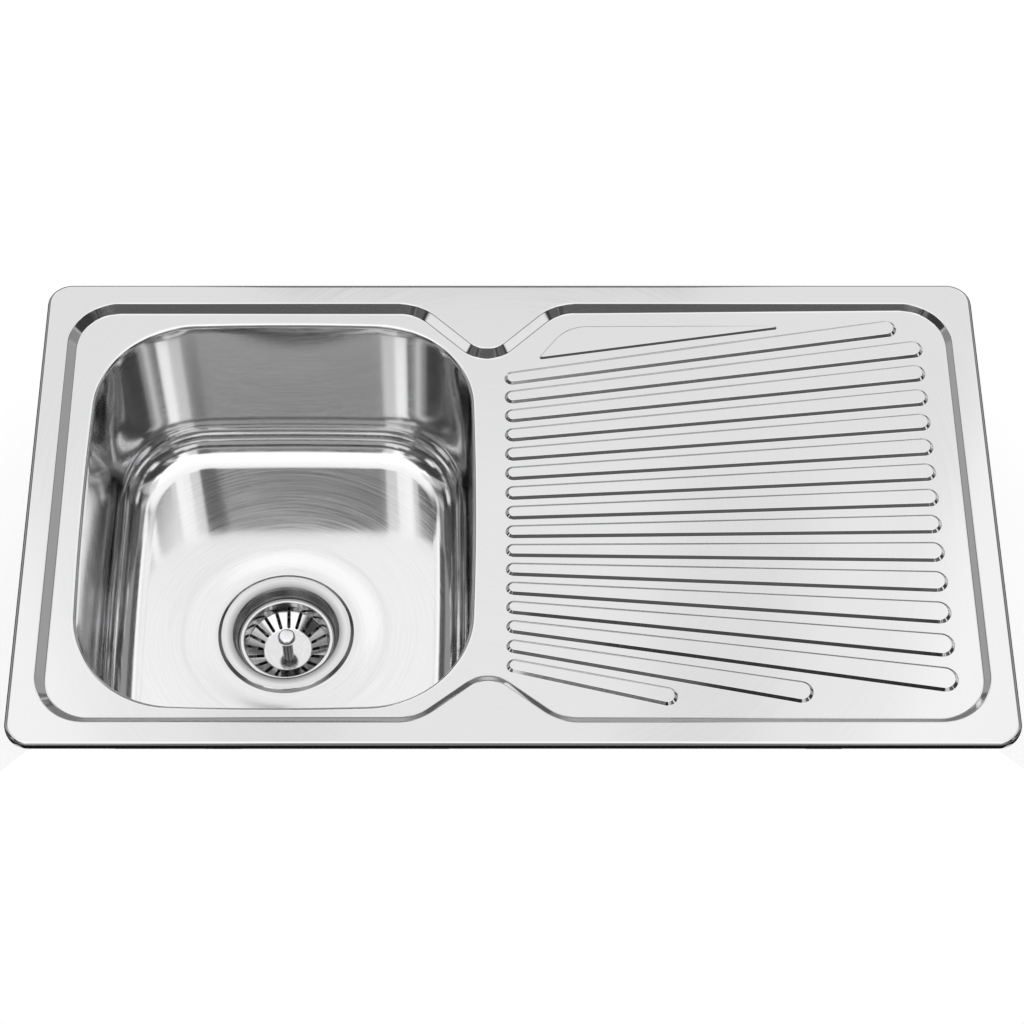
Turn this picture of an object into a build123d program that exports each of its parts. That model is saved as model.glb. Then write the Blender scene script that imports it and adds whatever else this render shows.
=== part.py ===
"""Inset kitchen sink: one deep bowl on the left, a fan-ribbed drainboard on the right.

Millimetres. +X runs to the drainboard, +Y to the back, +Z up. The origin is the middle of the
front edge's seat: z = 0 is the worktop, and x = 0 is half way along the sink.
"""
import os
from math import atan2, cos, degrees, radians, sin

from build123d import *

os.makedirs("parts", exist_ok=True)

# ---- Pressed top: rim, turned-down edge and recess ---------------------------------------------
WIDTH = 780.0  # outer edge to outer edge, left to right
DEPTH = 440.0  # outer edge to outer edge, front to back
SHEET = 0.8  # stainless sheet
RIM_TOP = 6.0  # flat rim above the worktop
OUTER_CORNER = 20.0  # plan radius of the outer corners
EDGE_ROUND = 3.0  # rounding of the outer edge
RIM_MARGIN = 20.0  # width of the flat rim
RECESS_CORNER = 42.0  # plan radius of the recess, at rim level
RECESS_DROP = 6.5  # rim to the deck round the bowl
RECESS_DROP_END = 4.5  # rim to the deck at the drainboard's far end
WALL_RUN = 7.0  # plan width of the sloped wall, at the full drop
STEP_ROUND = 2.0  # rounding along the top and foot of the sloped wall

# The rim swings in between the bowl and the drainboard, at the back and at the front.
NOTCH_LAND = 11.5  # bowl opening to the middle of both notches, where the drainboard starts to rise
NOTCH_TIP = 22.0  # plan radius of each tip
NOTCH_SHOULDER = 45.0  # plan radius where a notch leaves the straight wall
NOTCH_BACK = 46.5  # reach of the back notch
NOTCH_BACK_ANGLE = 44.0
NOTCH_FRONT = 36.5  # reach of the front notch
NOTCH_FRONT_ANGLE = 38.0

# ---- Bowl --------------------------------------------------------------------------------------
BOWL_WIDTH = 314.5  # opening, left to right
BOWL_LEFT_LAND = 18.0  # foot of the left wall to the opening
BOWL_FRONT_MARGIN = 36.5  # outer edge to the opening
BOWL_BACK_MARGIN = 39.0
BOWL_CORNER = 82.0
BOWL_CROWN = 5.0  # each side bows out by this much
BOWL_DEPTH = 172.0  # rim to the floor at the walls
BOWL_TAPER = 5.0  # each wall leans in by this much from top to floor
FLOOR_ROUND = 30.0
LIP_ROUND = 3.0  # rounding of the bowl's opening
WELD_LAND = 4.0  # strip outside the opening that is welded to the deck
DISH_RADIUS = 116.0  # the floor falls to the waste inside this radius
DISH_FALL = 2.0
WASTE_DX = -2.75  # waste centre from the bowl centre
WASTE_DY = -19.75

# ---- Drainboard: sixteen fanned ribs and one raised panel --------------------------------------
RIB_COUNT = 16
RIB_HEIGHT = 2.1
RIB_WALL = 2.4  # plan width of a rib's sloped side
RIB_SKIN = 0.2  # the hollow under a rib is this much narrower all round
RIB_SHARE = 0.70  # rib width as a share of the pitch
LEVEL_RIB = 7  # the rib that the fan opens from, counted from the back
RIB_LEFT = 14.5  # notch line to the left tips
RIB_RIGHT = 44.5  # outer edge to the right tips
LEVEL_LEFT_Y = -11.5  # front side of that rib at the left gauge line, from the centre line
LEVEL_RIGHT_Y = -0.5
GAUGE_LEFT_INSET = 19.0  # the pitches below are measured along two lines of X: notch line to the
GAUGE_RIGHT_INSET = 65.0  # left one, and outer edge to the right one
PITCH_LEFT_BACK = 18.9
PITCH_LEFT_FRONT = 17.6
PITCH_RIGHT_BACK = 24.4
PITCH_RIGHT_FRONT = 25.4
PITCH_GROWTH = 1.05  # each pitch in front of the level rib is this much wider than the last
FIRST_RIB_RIGHT = 65.0  # the rearmost rib clears the recess corner
SHORT_RIBS_RIGHT = (157.5, 262.5)  # the two front ribs stop at the rim
PANEL_TIP = (41.7, 145.5)  # raised panel behind the first rib: notch line, centre line to its tip
PANEL_SHOULDER = (67.0, 180.0)
PANEL_END = 145.0  # outer edge to the panel's right end
PANEL_TIP_ROUND = 1.6
PANEL_SHOULDER_ROUND = 34.0
PANEL_WALL = 1.4

# ---- Seal and fixing rails ---------------------------------------------------------------------
SEAL_WIDTH = 9.0
SEAL_INSET = 3.0  # outer edge to the seal strip
SEAL_MITRE = 30.0  # the strips meet on the diagonals of the corners, cut over this length
RAIL_GAUGE = 1.0
RAIL_FLANGE = 5.5  # width of the strip welded to the rim
RAIL_INSET = 17.5  # outer edge to the rail's web
RAIL_CHANNEL_WIDTH = 11.0
RAIL_CHANNEL_HEIGHT = 8.0
RAIL_DROP = 3.0  # worktop level to the top of the channel
RAIL_SLOT = 5.4
RAIL_CORNER_STOP = 60.0  # the rails stop this far from the corners

# ---- Worktop clips -----------------------------------------------------------------------------
CLIP_X = 235.0  # two clips at the front and two at the back, this far from the middle
BOLT_RADIUS = 2.4
BOLT_LENGTH = 55.0
BOLT_HEAD = (7.6, 10.0, 2.4)  # across the rail, along it, and its thickness
CLIP_CLEARANCE = 0.07
CLAW_WIDTH = 11.0
CLAW_REACH = 23.0
CLAW_GAUGE = 2.0
CLAW_TOOTH = 4.0  # height of the turned-up end
CLAW_TOP = -44.0  # top of the teeth when the clip hangs loose
CLIP_WASHER = (5.0, 1.0)  # radius, thickness
NUT_HUB = (4.2, 7.0)  # radius, height
NUT_WING = (8.0, 1.6, 5.0)  # reach, thickness, height

# ---- Waste with lift-out basket ----------------------------------------------------------------
FLOOR_HOLE = 45.5  # radius
CUP_SHEET = 1.0
CUP_FLANGE = 58.0  # radii of the cup, from the flange inwards
CUP_MOUTH = 44.0
CUP_LEDGE_OUTER = 41.0
CUP_WALL = 38.2
FLANGE_HEIGHT = 2.1  # bowl floor to the top of the flange
FLANGE_FALL = 0.7  # the flange's top slopes in by this much
FLANGE_ROUND = 1.5
LEDGE_DEPTH = 13.5  # flange top to the ledge that carries the basket
CUP_DEPTH = 38.0  # flange top to the cup's bottom
OUTLET_SLOT = (9.0, 21.5)  # inner and outer radius of the windows in the cup's bottom
OUTLET_WEB = 4.0  # width of the webs between the windows
GASKET = (46.5, 55.0)  # inner and outer radius of both gaskets
TOP_GASKET = 1.0
UNDER_GASKET = 2.0
BODY_FLANGE = 56.5  # plastic body: flange radius
BODY_WALL = 2.4
BODY_GAP = 0.8  # cup to plastic body
BODY_FLANGE_HEIGHT = 3.2
BODY_FLOOR = 10.0  # cup bottom to the start of the funnel
FUNNEL = 10.0
SPIGOT_RADIUS = 23.9
SPIGOT_BORE = 20.5
SPIGOT_LENGTH = 24.0
HUB_RADIUS = 7.0
HUB_HEIGHT = 14.0
SPIDER = (2.6, 9.0)  # thickness and height of the arms that carry the hub
INSERT_RADIUS = 4.4
SCREW_RADIUS = 2.5
SCREW_HEAD = (5.2, 2.4)
FIT = 0.05  # running clearance, radial

BASKET_SHEET = 0.8
BASKET_RIM = 39.9  # outer radius
BASKET_RIM_HEIGHT = 1.5
BASKET_SEAT_GAP = 0.1
BASKET_WALL = 37.0
BASKET_SHOULDER = 34.6  # radius where the slotted slope starts
BASKET_SHOULDER_DEPTH = 22.0  # flange top to that place
BASKET_DISC = 20.4
BASKET_DEPTH = 30.0  # flange top to the disc
SLOT_COUNT = 20
SLOT_WIDTH = 2.2
SLOT_INNER = 21.2
SLOT_OUTER = 34.2
STEM_RADIUS = 4.6
NECK_RADIUS = 3.6
PIN_RADIUS = 3.0
KNOB_RADIUS = 7.7
KNOB_TOP = 5.6  # flange top to the knob's crown
KNOB_HEIGHT = 9.5
KNOB_WIDEST = 0.55  # where the knob is widest, as a share of its height
KNOB_UNDERCUT = (-0.9, -1)  # direction in which its profile runs into the neck
STOPPER_RADIUS = 27.0
STOPPER_TOP = 15.0
STOPPER_HOLLOW = 12.0
STOPPER_GAP = 0.3
STOPPER_EDGE = 1.2  # thickness of the stopper at its lip

# ---- Damping pad under the bowl ----------------------------------------------------------------
PAD_THICKNESS = 2.5
PAD_INNER = 63.0
PAD_OUTER = 112.0

# ---- Places worked out from the sizes above ----------------------------------------------------
SEAT_LINE = SEAL_INSET + SEAL_WIDTH / 2  # outer edge to the middle of the seat
CENTRE_Y = DEPTH / 2 - SEAT_LINE
DECK = RIM_TOP - RECESS_DROP
BOWL_LENGTH = DEPTH - BOWL_FRONT_MARGIN - BOWL_BACK_MARGIN
BOWL_X = -WIDTH / 2 + RIM_MARGIN + WALL_RUN + BOWL_LEFT_LAND + BOWL_WIDTH / 2
BOWL_Y = CENTRE_Y + (BOWL_FRONT_MARGIN - BOWL_BACK_MARGIN) / 2
NOTCH_X = BOWL_X + BOWL_WIDTH / 2 + NOTCH_LAND
GAUGE_LEFT = NOTCH_X + GAUGE_LEFT_INSET
GAUGE_RIGHT = WIDTH / 2 - GAUGE_RIGHT_INSET
RUN_PER_DROP = WALL_RUN / RECESS_DROP
BOARD_END_X = WIDTH / 2 - RIM_MARGIN - WALL_RUN
BOARD_SLOPE = atan2(RECESS_DROP - RECESS_DROP_END, BOARD_END_X - NOTCH_X)
FLOOR = RIM_TOP - BOWL_DEPTH
WASTE_X = BOWL_X + WASTE_DX
WASTE_Y = BOWL_Y + WASTE_DY
WASTE_FLOOR = FLOOR - DISH_FALL
FLANGE_TOP = WASTE_FLOOR + FLANGE_HEIGHT
CUP_BOTTOM = FLANGE_TOP - CUP_DEPTH
CHANNEL_BOTTOM = -RAIL_DROP - RAIL_CHANNEL_HEIGHT
BOLT_INSET = RAIL_INSET + RAIL_CHANNEL_WIDTH / 2
CLAW_TOP_FACE = CLAW_TOP - CLAW_TOOTH
CLAW_FOOT = CLAW_TOP_FACE - CLAW_GAUGE
WASHER_FOOT = CLAW_FOOT - CLIP_WASHER[1]

waste_axis = Plane(origin=(WASTE_X, WASTE_Y, 0), x_dir=(1, 0, 0), z_dir=(0, -1, 0))
spin_axis = Axis((WASTE_X, WASTE_Y, 0), (0, 0, 1))


def save(part, name, colour):
    """Label one finished piece and write it to its own file."""
    part.label = name
    part.color = Color(*colour)
    export_step(part, f"parts/{name}.step")


# ---- Outlines ----------------------------------------------------------------------------------
def notch(side, reach, angle, grow):
    """Edges of one notch in the recess outline: shoulder, flank, tip, flank, shoulder.

    side is 1 at the back and -1 at the front, and grow moves the outline outwards. Every arc
    keeps its centre when the outline grows, so two outlines are always a true offset apart.
    """
    both = NOTCH_SHOULDER + NOTCH_TIP
    flank = (reach - both * (1 - cos(angle))) / sin(angle)
    half = both * sin(angle) + flank * cos(angle)
    base = DEPTH / 2 - RIM_MARGIN
    shoulder_y = base - NOTCH_SHOULDER
    tip_y = base - reach + NOTCH_TIP
    outer = NOTCH_SHOULDER + grow
    inner = NOTCH_TIP - grow

    def at(x, y):
        return (NOTCH_X + x, CENTRE_Y + side * y)

    def arc(cx, cy, radius, first, last):
        turns = [first, (first + last) / 2, last]
        ThreePointArc(*[at(cx + radius * sin(turn), cy + radius * cos(turn)) for turn in turns])

    for hand in (-1, 1):
        arc(hand * half, shoulder_y, outer, 0, -hand * angle)
        Line(
            at(hand * (half - outer * sin(angle)), shoulder_y + outer * cos(angle)),
            at(hand * inner * sin(angle), tip_y - inner * cos(angle)),
        )
    tip_ends = [at(hand * inner * sin(angle), tip_y - inner * cos(angle)) for hand in (-1, 1)]
    ThreePointArc(tip_ends[0], at(0, tip_y - inner), tip_ends[1])
    return half


def recess_outline(grow):
    """Closed outline of the recess, grown outwards from its line on the rim."""
    half_x = WIDTH / 2 - RIM_MARGIN
    half_y = DEPTH / 2 - RIM_MARGIN
    corner_x = half_x - RECESS_CORNER
    corner_y = half_y - RECESS_CORNER
    radius = RECESS_CORNER + grow
    for side, reach, angle in (
        (1, NOTCH_BACK, radians(NOTCH_BACK_ANGLE)),
        (-1, NOTCH_FRONT, radians(NOTCH_FRONT_ANGLE)),
    ):
        half = notch(side, reach, angle, grow)
        y = CENTRE_Y + side * (half_y + grow)
        Line((-corner_x, y), (NOTCH_X - half, y))
        Line((NOTCH_X + half, y), (corner_x, y))
    for hand, side, start in ((1, 1, 0), (-1, 1, 90), (-1, -1, 180), (1, -1, 270)):
        CenterArc((hand * corner_x, CENTRE_Y + side * corner_y), radius, start, 90)
    for hand in (-1, 1):
        x = hand * (half_x + grow)
        Line((x, CENTRE_Y - corner_y), (x, CENTRE_Y + corner_y))


def bowl_outline(grow):
    """Closed outline of the bowl with bowed sides, grown outwards from its opening."""
    half_x = BOWL_WIDTH / 2 + grow
    half_y = BOWL_LENGTH / 2 + grow
    corners = [
        (hand * (half_x - BOWL_CROWN), side * (half_y - BOWL_CROWN))
        for hand, side in ((1, 1), (-1, 1), (-1, -1), (1, -1))
    ]
    middles = [(0, half_y), (-half_x, 0), (0, -half_y), (half_x, 0)]
    for index, middle in enumerate(middles):
        points = (corners[index], middle, corners[(index + 1) % 4])
        ThreePointArc(*[(BOWL_X + x, BOWL_Y + y) for x, y in points])


def recess_solid(skin, top):
    """Everything inside the recess up to top; skin gives the far side of the sheet."""
    slope = (WALL_RUN**2 + RECESS_DROP**2) ** 0.5
    shift = skin * slope / RECESS_DROP
    low = DECK - skin - STEP_ROUND
    end_x = WIDTH / 2
    end_z = DECK + (end_x - NOTCH_X) * (RECESS_DROP - RECESS_DROP_END) / (BOARD_END_X - NOTCH_X)
    with BuildPart() as cavity:
        for level in (top, low):
            with BuildSketch(Plane.XY.offset(level)):
                with BuildLine():
                    recess_outline((level - RIM_TOP) * RUN_PER_DROP + shift)
                make_face()
        loft(ruled=True)
        # The floor is level round the bowl and rises along the drainboard.
        with BuildSketch(Plane.XZ.offset(-CENTRE_Y)):
            with BuildLine():
                Polyline(
                    (-end_x, DECK - skin),
                    (NOTCH_X, DECK - skin),
                    (end_x, end_z - skin),
                    (end_x, top),
                    (-end_x, top),
                    close=True,
                )
            make_face()
        extrude(amount=DEPTH / 2, both=True, mode=Mode.INTERSECT)
        level, sloped = cavity.faces().filter_by(lambda face: face.normal_at().Z < -0.99)
        crease = level.edges() & sloped.edges()
        foot = [edge for edge in level.edges() + sloped.edges() if edge not in crease]
        fillet(foot, radius=STEP_ROUND + skin)
    return cavity.part


def board_plane(height):
    """Plane of the drainboard, raised by height."""
    normal = Vector(-sin(BOARD_SLOPE), 0, cos(BOARD_SLOPE))
    origin = Vector(NOTCH_X, CENTRE_Y, DECK) + normal * height
    return Plane(origin=origin, x_dir=(cos(BOARD_SLOPE), 0, sin(BOARD_SLOPE)), z_dir=normal)


def rib_line(index):
    """Left and right middle points and half widths of one rib, from the centre line."""
    steps = LEVEL_RIB - index
    if steps >= 0:
        left_pitch = PITCH_LEFT_BACK
        right_pitch = PITCH_RIGHT_BACK
        right_y = LEVEL_RIGHT_Y + steps * right_pitch
    else:
        ahead = -steps
        left_pitch = PITCH_LEFT_FRONT
        right_pitch = PITCH_RIGHT_FRONT + PITCH_GROWTH * (ahead - 1)
        right_y = LEVEL_RIGHT_Y - ahead * PITCH_RIGHT_FRONT - PITCH_GROWTH * ahead * (ahead - 1) / 2
    left_y = LEVEL_LEFT_Y + steps * left_pitch
    end_x = WIDTH / 2 - RIB_RIGHT
    first_short = RIB_COUNT - len(SHORT_RIBS_RIGHT)
    if index == 0:
        end_x = WIDTH / 2 - FIRST_RIB_RIGHT
    if index >= first_short:
        end_x = WIDTH / 2 - SHORT_RIBS_RIGHT[index - first_short]

    def half_width(x):
        share = (x - GAUGE_LEFT) / (GAUGE_RIGHT - GAUGE_LEFT)
        return RIB_SHARE / 2 * (left_pitch + share * (right_pitch - left_pitch))

    def front(x):
        share = (x - GAUGE_LEFT) / (GAUGE_RIGHT - GAUGE_LEFT)
        return left_y + share * (right_y - left_y) - RIB_WALL / 2

    radius_left = half_width(GAUGE_LEFT)
    radius_right = half_width(end_x)
    tilt = atan2(front(GAUGE_RIGHT) - front(GAUGE_LEFT), GAUGE_RIGHT - GAUGE_LEFT)
    x_left = NOTCH_X + RIB_LEFT + radius_left
    x_right = end_x - radius_right
    return (
        (x_left, front(x_left) + radius_left / cos(tilt)),
        (x_right, front(x_right) + radius_right / cos(tilt)),
        radius_left,
        radius_right,
    )


def rib_face(index, height, inset):
    """Plan shape of one rib: two unequal ends and their common tangents."""
    left, right, radius_left, radius_right = rib_line(index)
    with BuildSketch(board_plane(height)) as outline:
        for (x, y), radius in ((left, radius_left), (right, radius_right)):
            with Locations((x - NOTCH_X, y)):
                Circle(radius - inset)
        make_hull()
    return outline.sketch


def panel_face(height, inset):
    """Plan shape of the raised panel behind the first rib."""
    end = (WIDTH / 2 - PANEL_END - NOTCH_X, PANEL_SHOULDER[1])
    corners = [PANEL_TIP, PANEL_SHOULDER, end]
    with BuildSketch(board_plane(height)) as outline:
        with BuildLine():
            Polyline(*corners, close=True)
        make_face()
        shoulder = outline.vertices().sort_by_distance((*corners[1], 0))[0]
        tips = [vertex for vertex in outline.vertices() if vertex != shoulder]
        fillet(tips, radius=PANEL_TIP_ROUND)
        fillet(shoulder, radius=PANEL_SHOULDER_ROUND)
        offset(amount=-inset)
    return outline.sketch


def rib_solids(base, inset):
    """All ribs and the raised panel as tapered pads, base measured up from the board."""
    top = base + RIB_HEIGHT
    with BuildPart() as pads:
        for index in range(RIB_COUNT):
            foot = rib_face(index, base, inset).face()
            loft([foot, rib_face(index, top, inset + RIB_WALL).face()], ruled=True)
        loft([panel_face(base, inset).face(), panel_face(top, inset + PANEL_WALL).face()], ruled=True)
    return pads.part


def bowl_face(level, grow):
    """Plan shape of the bowl at one level, grown outwards from its opening."""
    with BuildSketch(Plane.XY.offset(level)) as outline:
        with BuildLine():
            bowl_outline(grow)
        make_face()
        fillet(outline.vertices(), radius=BOWL_CORNER + grow)
    return outline.sketch


def bowl_solid(skin):
    """Everything inside the bowl; skin thickens it outwards to give the sheet's far side."""
    floor = FLOOR - skin
    fall = DISH_FALL
    with BuildPart() as cavity:
        loft([bowl_face(DECK, skin).face(), bowl_face(floor, skin - BOWL_TAPER).face()], ruled=True)
        fillet(cavity.faces().sort_by(Axis.Z)[0].edges(), radius=FLOOR_ROUND + skin)
        with BuildSketch(waste_axis):
            with BuildLine():
                Polyline(
                    (0, floor + fall),
                    (DISH_RADIUS, floor + fall),
                    (DISH_RADIUS, floor),
                    (CUP_FLANGE, floor - fall),
                    (0, floor - fall),
                    close=True,
                )
            make_face()
        revolve(axis=spin_axis)
    return cavity.part


# ---- Pressed top -------------------------------------------------------------------------------
with BuildPart() as rim_hollow:
    with BuildSketch():
        with Locations((0, CENTRE_Y)):
            RectangleRounded(WIDTH - 2 * SHEET, DEPTH - 2 * SHEET, OUTER_CORNER - SHEET)
    extrude(amount=RIM_TOP - SHEET)
    fillet(rim_hollow.faces().sort_by(Axis.Z)[-1].edges(), radius=EDGE_ROUND - SHEET)
    add(recess_solid(SHEET, RIM_TOP), mode=Mode.SUBTRACT)
    inner = rim_hollow.faces().sort_by(Axis.Z)[-1].inner_wires()[0]
    fillet(inner.edges(), radius=STEP_ROUND - SHEET)

with BuildPart() as sink_top:
    with BuildSketch():
        with Locations((0, CENTRE_Y)):
            RectangleRounded(WIDTH, DEPTH, OUTER_CORNER)
    extrude(amount=RIM_TOP)
    fillet(sink_top.faces().sort_by(Axis.Z)[-1].edges(), radius=EDGE_ROUND)
    add(recess_solid(SHEET, RIM_TOP - SHEET / 2))
    add(rim_hollow.part, mode=Mode.SUBTRACT)
    add(recess_solid(0, RIM_TOP + SHEET), mode=Mode.SUBTRACT)
    inner = sink_top.faces().sort_by(Axis.Z)[-1].inner_wires()[0]
    fillet(inner.edges(), radius=STEP_ROUND)
    add(rib_solids(0, 0))
    add(rib_solids(-SHEET, RIB_SKIN), mode=Mode.SUBTRACT)
    add(bowl_face(DECK - 2 * SHEET, WELD_LAND))
    extrude(amount=RIM_TOP, mode=Mode.SUBTRACT)
save(sink_top.part, "sink_top", (0.8, 0.8, 0.82))

# ---- Bowl, welded into the top -----------------------------------------------------------------
with BuildPart() as sink_bowl:
    add(bowl_face(DECK - SHEET, WELD_LAND))
    extrude(amount=SHEET)
    add(bowl_solid(SHEET))
    add(bowl_solid(0), mode=Mode.SUBTRACT)
    lip = sink_bowl.faces().sort_by(Axis.Z)[-1].inner_wires()[0]
    fillet(lip.edges(), radius=LIP_ROUND)
    with Locations((WASTE_X, WASTE_Y, WASTE_FLOOR)):
        Cylinder(FLOOR_HOLE, 4 * DISH_FALL, mode=Mode.SUBTRACT)
save(sink_bowl.part, "sink_bowl", (0.75, 0.75, 0.78))

# ---- Seal strips between the rim and the worktop -----------------------------------------------
def edge_plane(side, height):
    """Plane along one side of the sink: x runs along the edge, y runs in from the outer edge."""
    frames = {
        "front": ((0, CENTRE_Y - DEPTH / 2), (1, 0, 0)),
        "back": ((0, CENTRE_Y + DEPTH / 2), (-1, 0, 0)),
        "left": ((-WIDTH / 2, CENTRE_Y), (0, -1, 0)),
        "right": ((WIDTH / 2, CENTRE_Y), (0, 1, 0)),
    }
    (x, y), along = frames[side]
    return Plane(origin=(x, y, height), x_dir=along, z_dir=(0, 0, 1))


SIDE_LENGTHS = {"front": WIDTH, "back": WIDTH, "left": DEPTH, "right": DEPTH}

SEAL_INNER = SEAL_INSET + SEAL_WIDTH

for side, length in SIDE_LENGTHS.items():
    mitre = length / 2 - SEAL_MITRE
    with BuildPart() as seal:
        with BuildSketch():
            with Locations((0, CENTRE_Y)):
                RectangleRounded(WIDTH - 2 * SEAL_INSET, DEPTH - 2 * SEAL_INSET, OUTER_CORNER - SEAL_INSET)
                RectangleRounded(
                    WIDTH - 2 * SEAL_INNER,
                    DEPTH - 2 * SEAL_INNER,
                    OUTER_CORNER - SEAL_INNER,
                    mode=Mode.SUBTRACT,
                )
        extrude(amount=RIM_TOP - SHEET)
        with BuildSketch(edge_plane(side, 0)):
            with BuildLine():
                Polyline(
                    (-length / 2, 0),
                    (length / 2, 0),
                    (mitre, SEAL_MITRE),
                    (-mitre, SEAL_MITRE),
                    close=True,
                )
            make_face()
        extrude(amount=RIM_TOP - SHEET, mode=Mode.INTERSECT)
    save(seal.part, f"seal_{side}", (0.15, 0.15, 0.16))

# ---- Fixing rails welded under the rim ---------------------------------------------------------
for side, length in SIDE_LENGTHS.items():
    rail_length = length - 2 * RAIL_CORNER_STOP
    along = edge_plane(side, 0)
    section = Plane(
        origin=along.origin - along.x_dir * rail_length / 2, x_dir=along.y_dir, z_dir=along.x_dir
    )
    under_rim = RIM_TOP - SHEET
    web_inner = RAIL_INSET + RAIL_GAUGE
    far = RAIL_INSET + RAIL_CHANNEL_WIDTH
    lip = (RAIL_CHANNEL_WIDTH - RAIL_SLOT) / 2
    with BuildPart() as rail:
        with BuildSketch(section):
            with BuildLine():
                Polyline(
                    (web_inner - RAIL_FLANGE, under_rim),
                    (web_inner, under_rim),
                    (web_inner, -RAIL_DROP),
                    (far, -RAIL_DROP),
                    (far, CHANNEL_BOTTOM),
                    (far - lip, CHANNEL_BOTTOM),
                    (far - lip, CHANNEL_BOTTOM + RAIL_GAUGE),
                    (far - RAIL_GAUGE, CHANNEL_BOTTOM + RAIL_GAUGE),
                    (far - RAIL_GAUGE, -RAIL_DROP - RAIL_GAUGE),
                    (web_inner, -RAIL_DROP - RAIL_GAUGE),
                    (web_inner, CHANNEL_BOTTOM + RAIL_GAUGE),
                    (RAIL_INSET + lip, CHANNEL_BOTTOM + RAIL_GAUGE),
                    (RAIL_INSET + lip, CHANNEL_BOTTOM),
                    (RAIL_INSET, CHANNEL_BOTTOM),
                    (RAIL_INSET, under_rim - RAIL_GAUGE),
                    (web_inner - RAIL_FLANGE, under_rim - RAIL_GAUGE),
                    close=True,
                )
            make_face()
        extrude(amount=rail_length)
    save(rail.part, f"rail_{side}", (0.62, 0.64, 0.66))

# ---- Worktop clips: bolt, claw, washer and wing nut --------------------------------------------
# Each clip hangs from its rail; the claw lies along the rail until it is swung out.
CLIPS = {
    "front_left": ("front", -CLIP_X),
    "front_right": ("front", CLIP_X),
    "back_left": ("back", CLIP_X),
    "back_right": ("back", -CLIP_X),
    "left": ("left", 0.0),
    "right": ("right", 0.0),
}
HEAD_FOOT = CHANNEL_BOTTOM + RAIL_GAUGE
BOLT_FOOT = HEAD_FOOT - BOLT_LENGTH


def clip_location(side, along, height):
    """Place on a clip's bolt axis, with x along the rail and y pointing into the sink."""
    return edge_plane(side, height) * Pos(along, BOLT_INSET)


with BuildPart() as clip_bolts:
    for side, along in CLIPS.values():
        with Locations(clip_location(side, along, HEAD_FOOT)):
            Box(BOLT_HEAD[1], BOLT_HEAD[0], BOLT_HEAD[2], align=(Align.CENTER, Align.CENTER, Align.MIN))
        with Locations(clip_location(side, along, BOLT_FOOT)):
            Cylinder(BOLT_RADIUS, BOLT_LENGTH, align=(Align.CENTER, Align.CENTER, Align.MIN))
save(clip_bolts.part, "clip_bolts", (0.7, 0.72, 0.74))

for name, (side, along) in CLIPS.items():
    with BuildPart() as claw:
        with BuildSketch(Plane(clip_location(side, along, CLAW_FOOT))):
            Circle(CLAW_WIDTH / 2)
            with Locations((CLAW_REACH / 2, 0)):
                Rectangle(CLAW_REACH, CLAW_WIDTH)
            Circle(BOLT_RADIUS + CLIP_CLEARANCE, mode=Mode.SUBTRACT)
        extrude(amount=CLAW_GAUGE)
        with BuildSketch(Plane(clip_location(side, along, CLAW_TOP_FACE))):
            with Locations((CLAW_REACH - CLAW_GAUGE / 2, 0)):
                Rectangle(CLAW_GAUGE, CLAW_WIDTH)
        extrude(amount=CLAW_TOOTH)
        # Three teeth bite the underside of the worktop.
        with BuildSketch(Plane(clip_location(side, along, CLAW_TOP))):
            with Locations((CLAW_REACH - CLAW_GAUGE / 2, 0)):
                with GridLocations(0, CLAW_WIDTH / 3, 1, 2):
                    Rectangle(CLAW_GAUGE, CLAW_WIDTH / 9)
        extrude(amount=-CLAW_TOOTH / 3, mode=Mode.SUBTRACT)
    save(claw.part, f"claw_{name}", (0.66, 0.68, 0.7))

    with BuildPart() as washer:
        with BuildSketch(Plane(clip_location(side, along, WASHER_FOOT))):
            Circle(CLIP_WASHER[0])
            Circle(BOLT_RADIUS + CLIP_CLEARANCE, mode=Mode.SUBTRACT)
        extrude(amount=CLIP_WASHER[1])
    save(washer.part, f"clip_washer_{name}", (0.72, 0.74, 0.76))

    with BuildPart() as nut:
        with BuildSketch(Plane(clip_location(side, along, WASHER_FOOT))):
            Circle(NUT_HUB[0])
        extrude(amount=-NUT_HUB[1])
        with BuildSketch(Plane(clip_location(side, along, WASHER_FOOT - NUT_HUB[1]))):
            Rectangle(2 * NUT_WING[0], NUT_WING[1])
        extrude(amount=NUT_WING[2])
        with BuildSketch(Plane(clip_location(side, along, WASHER_FOOT))):
            Circle(BOLT_RADIUS + CLIP_CLEARANCE)
        extrude(amount=-NUT_HUB[1], mode=Mode.SUBTRACT)
    save(nut.part, f"clip_nut_{name}", (0.72, 0.74, 0.76))

# ---- Damping pad under the bowl ----------------------------------------------------------------
with BuildPart() as damping_pad:
    fall_per_mm = DISH_FALL / (DISH_RADIUS - CUP_FLANGE)
    pad_outer = FLOOR - SHEET - (DISH_RADIUS - PAD_OUTER) * fall_per_mm
    pad_inner = FLOOR - SHEET - (DISH_RADIUS - PAD_INNER) * fall_per_mm
    with BuildSketch(waste_axis):
        with BuildLine():
            Polyline(
                (PAD_INNER, pad_inner),
                (PAD_OUTER, pad_outer),
                (PAD_OUTER, pad_outer - PAD_THICKNESS),
                (PAD_INNER, pad_inner - PAD_THICKNESS),
                close=True,
            )
        make_face()
    revolve(axis=spin_axis)
save(damping_pad.part, "damping_pad", (0.2, 0.2, 0.21))

# ---- Waste: gaskets, steel cup, plastic body and its screw -------------------------------------
def ring(inner, outer, low, height):
    """Plain ring round the waste's axis."""
    with BuildPart() as piece:
        with BuildSketch(Plane(origin=(WASTE_X, WASTE_Y, low))):
            Circle(outer)
            Circle(inner, mode=Mode.SUBTRACT)
        extrude(amount=height)
    return piece.part


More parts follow.
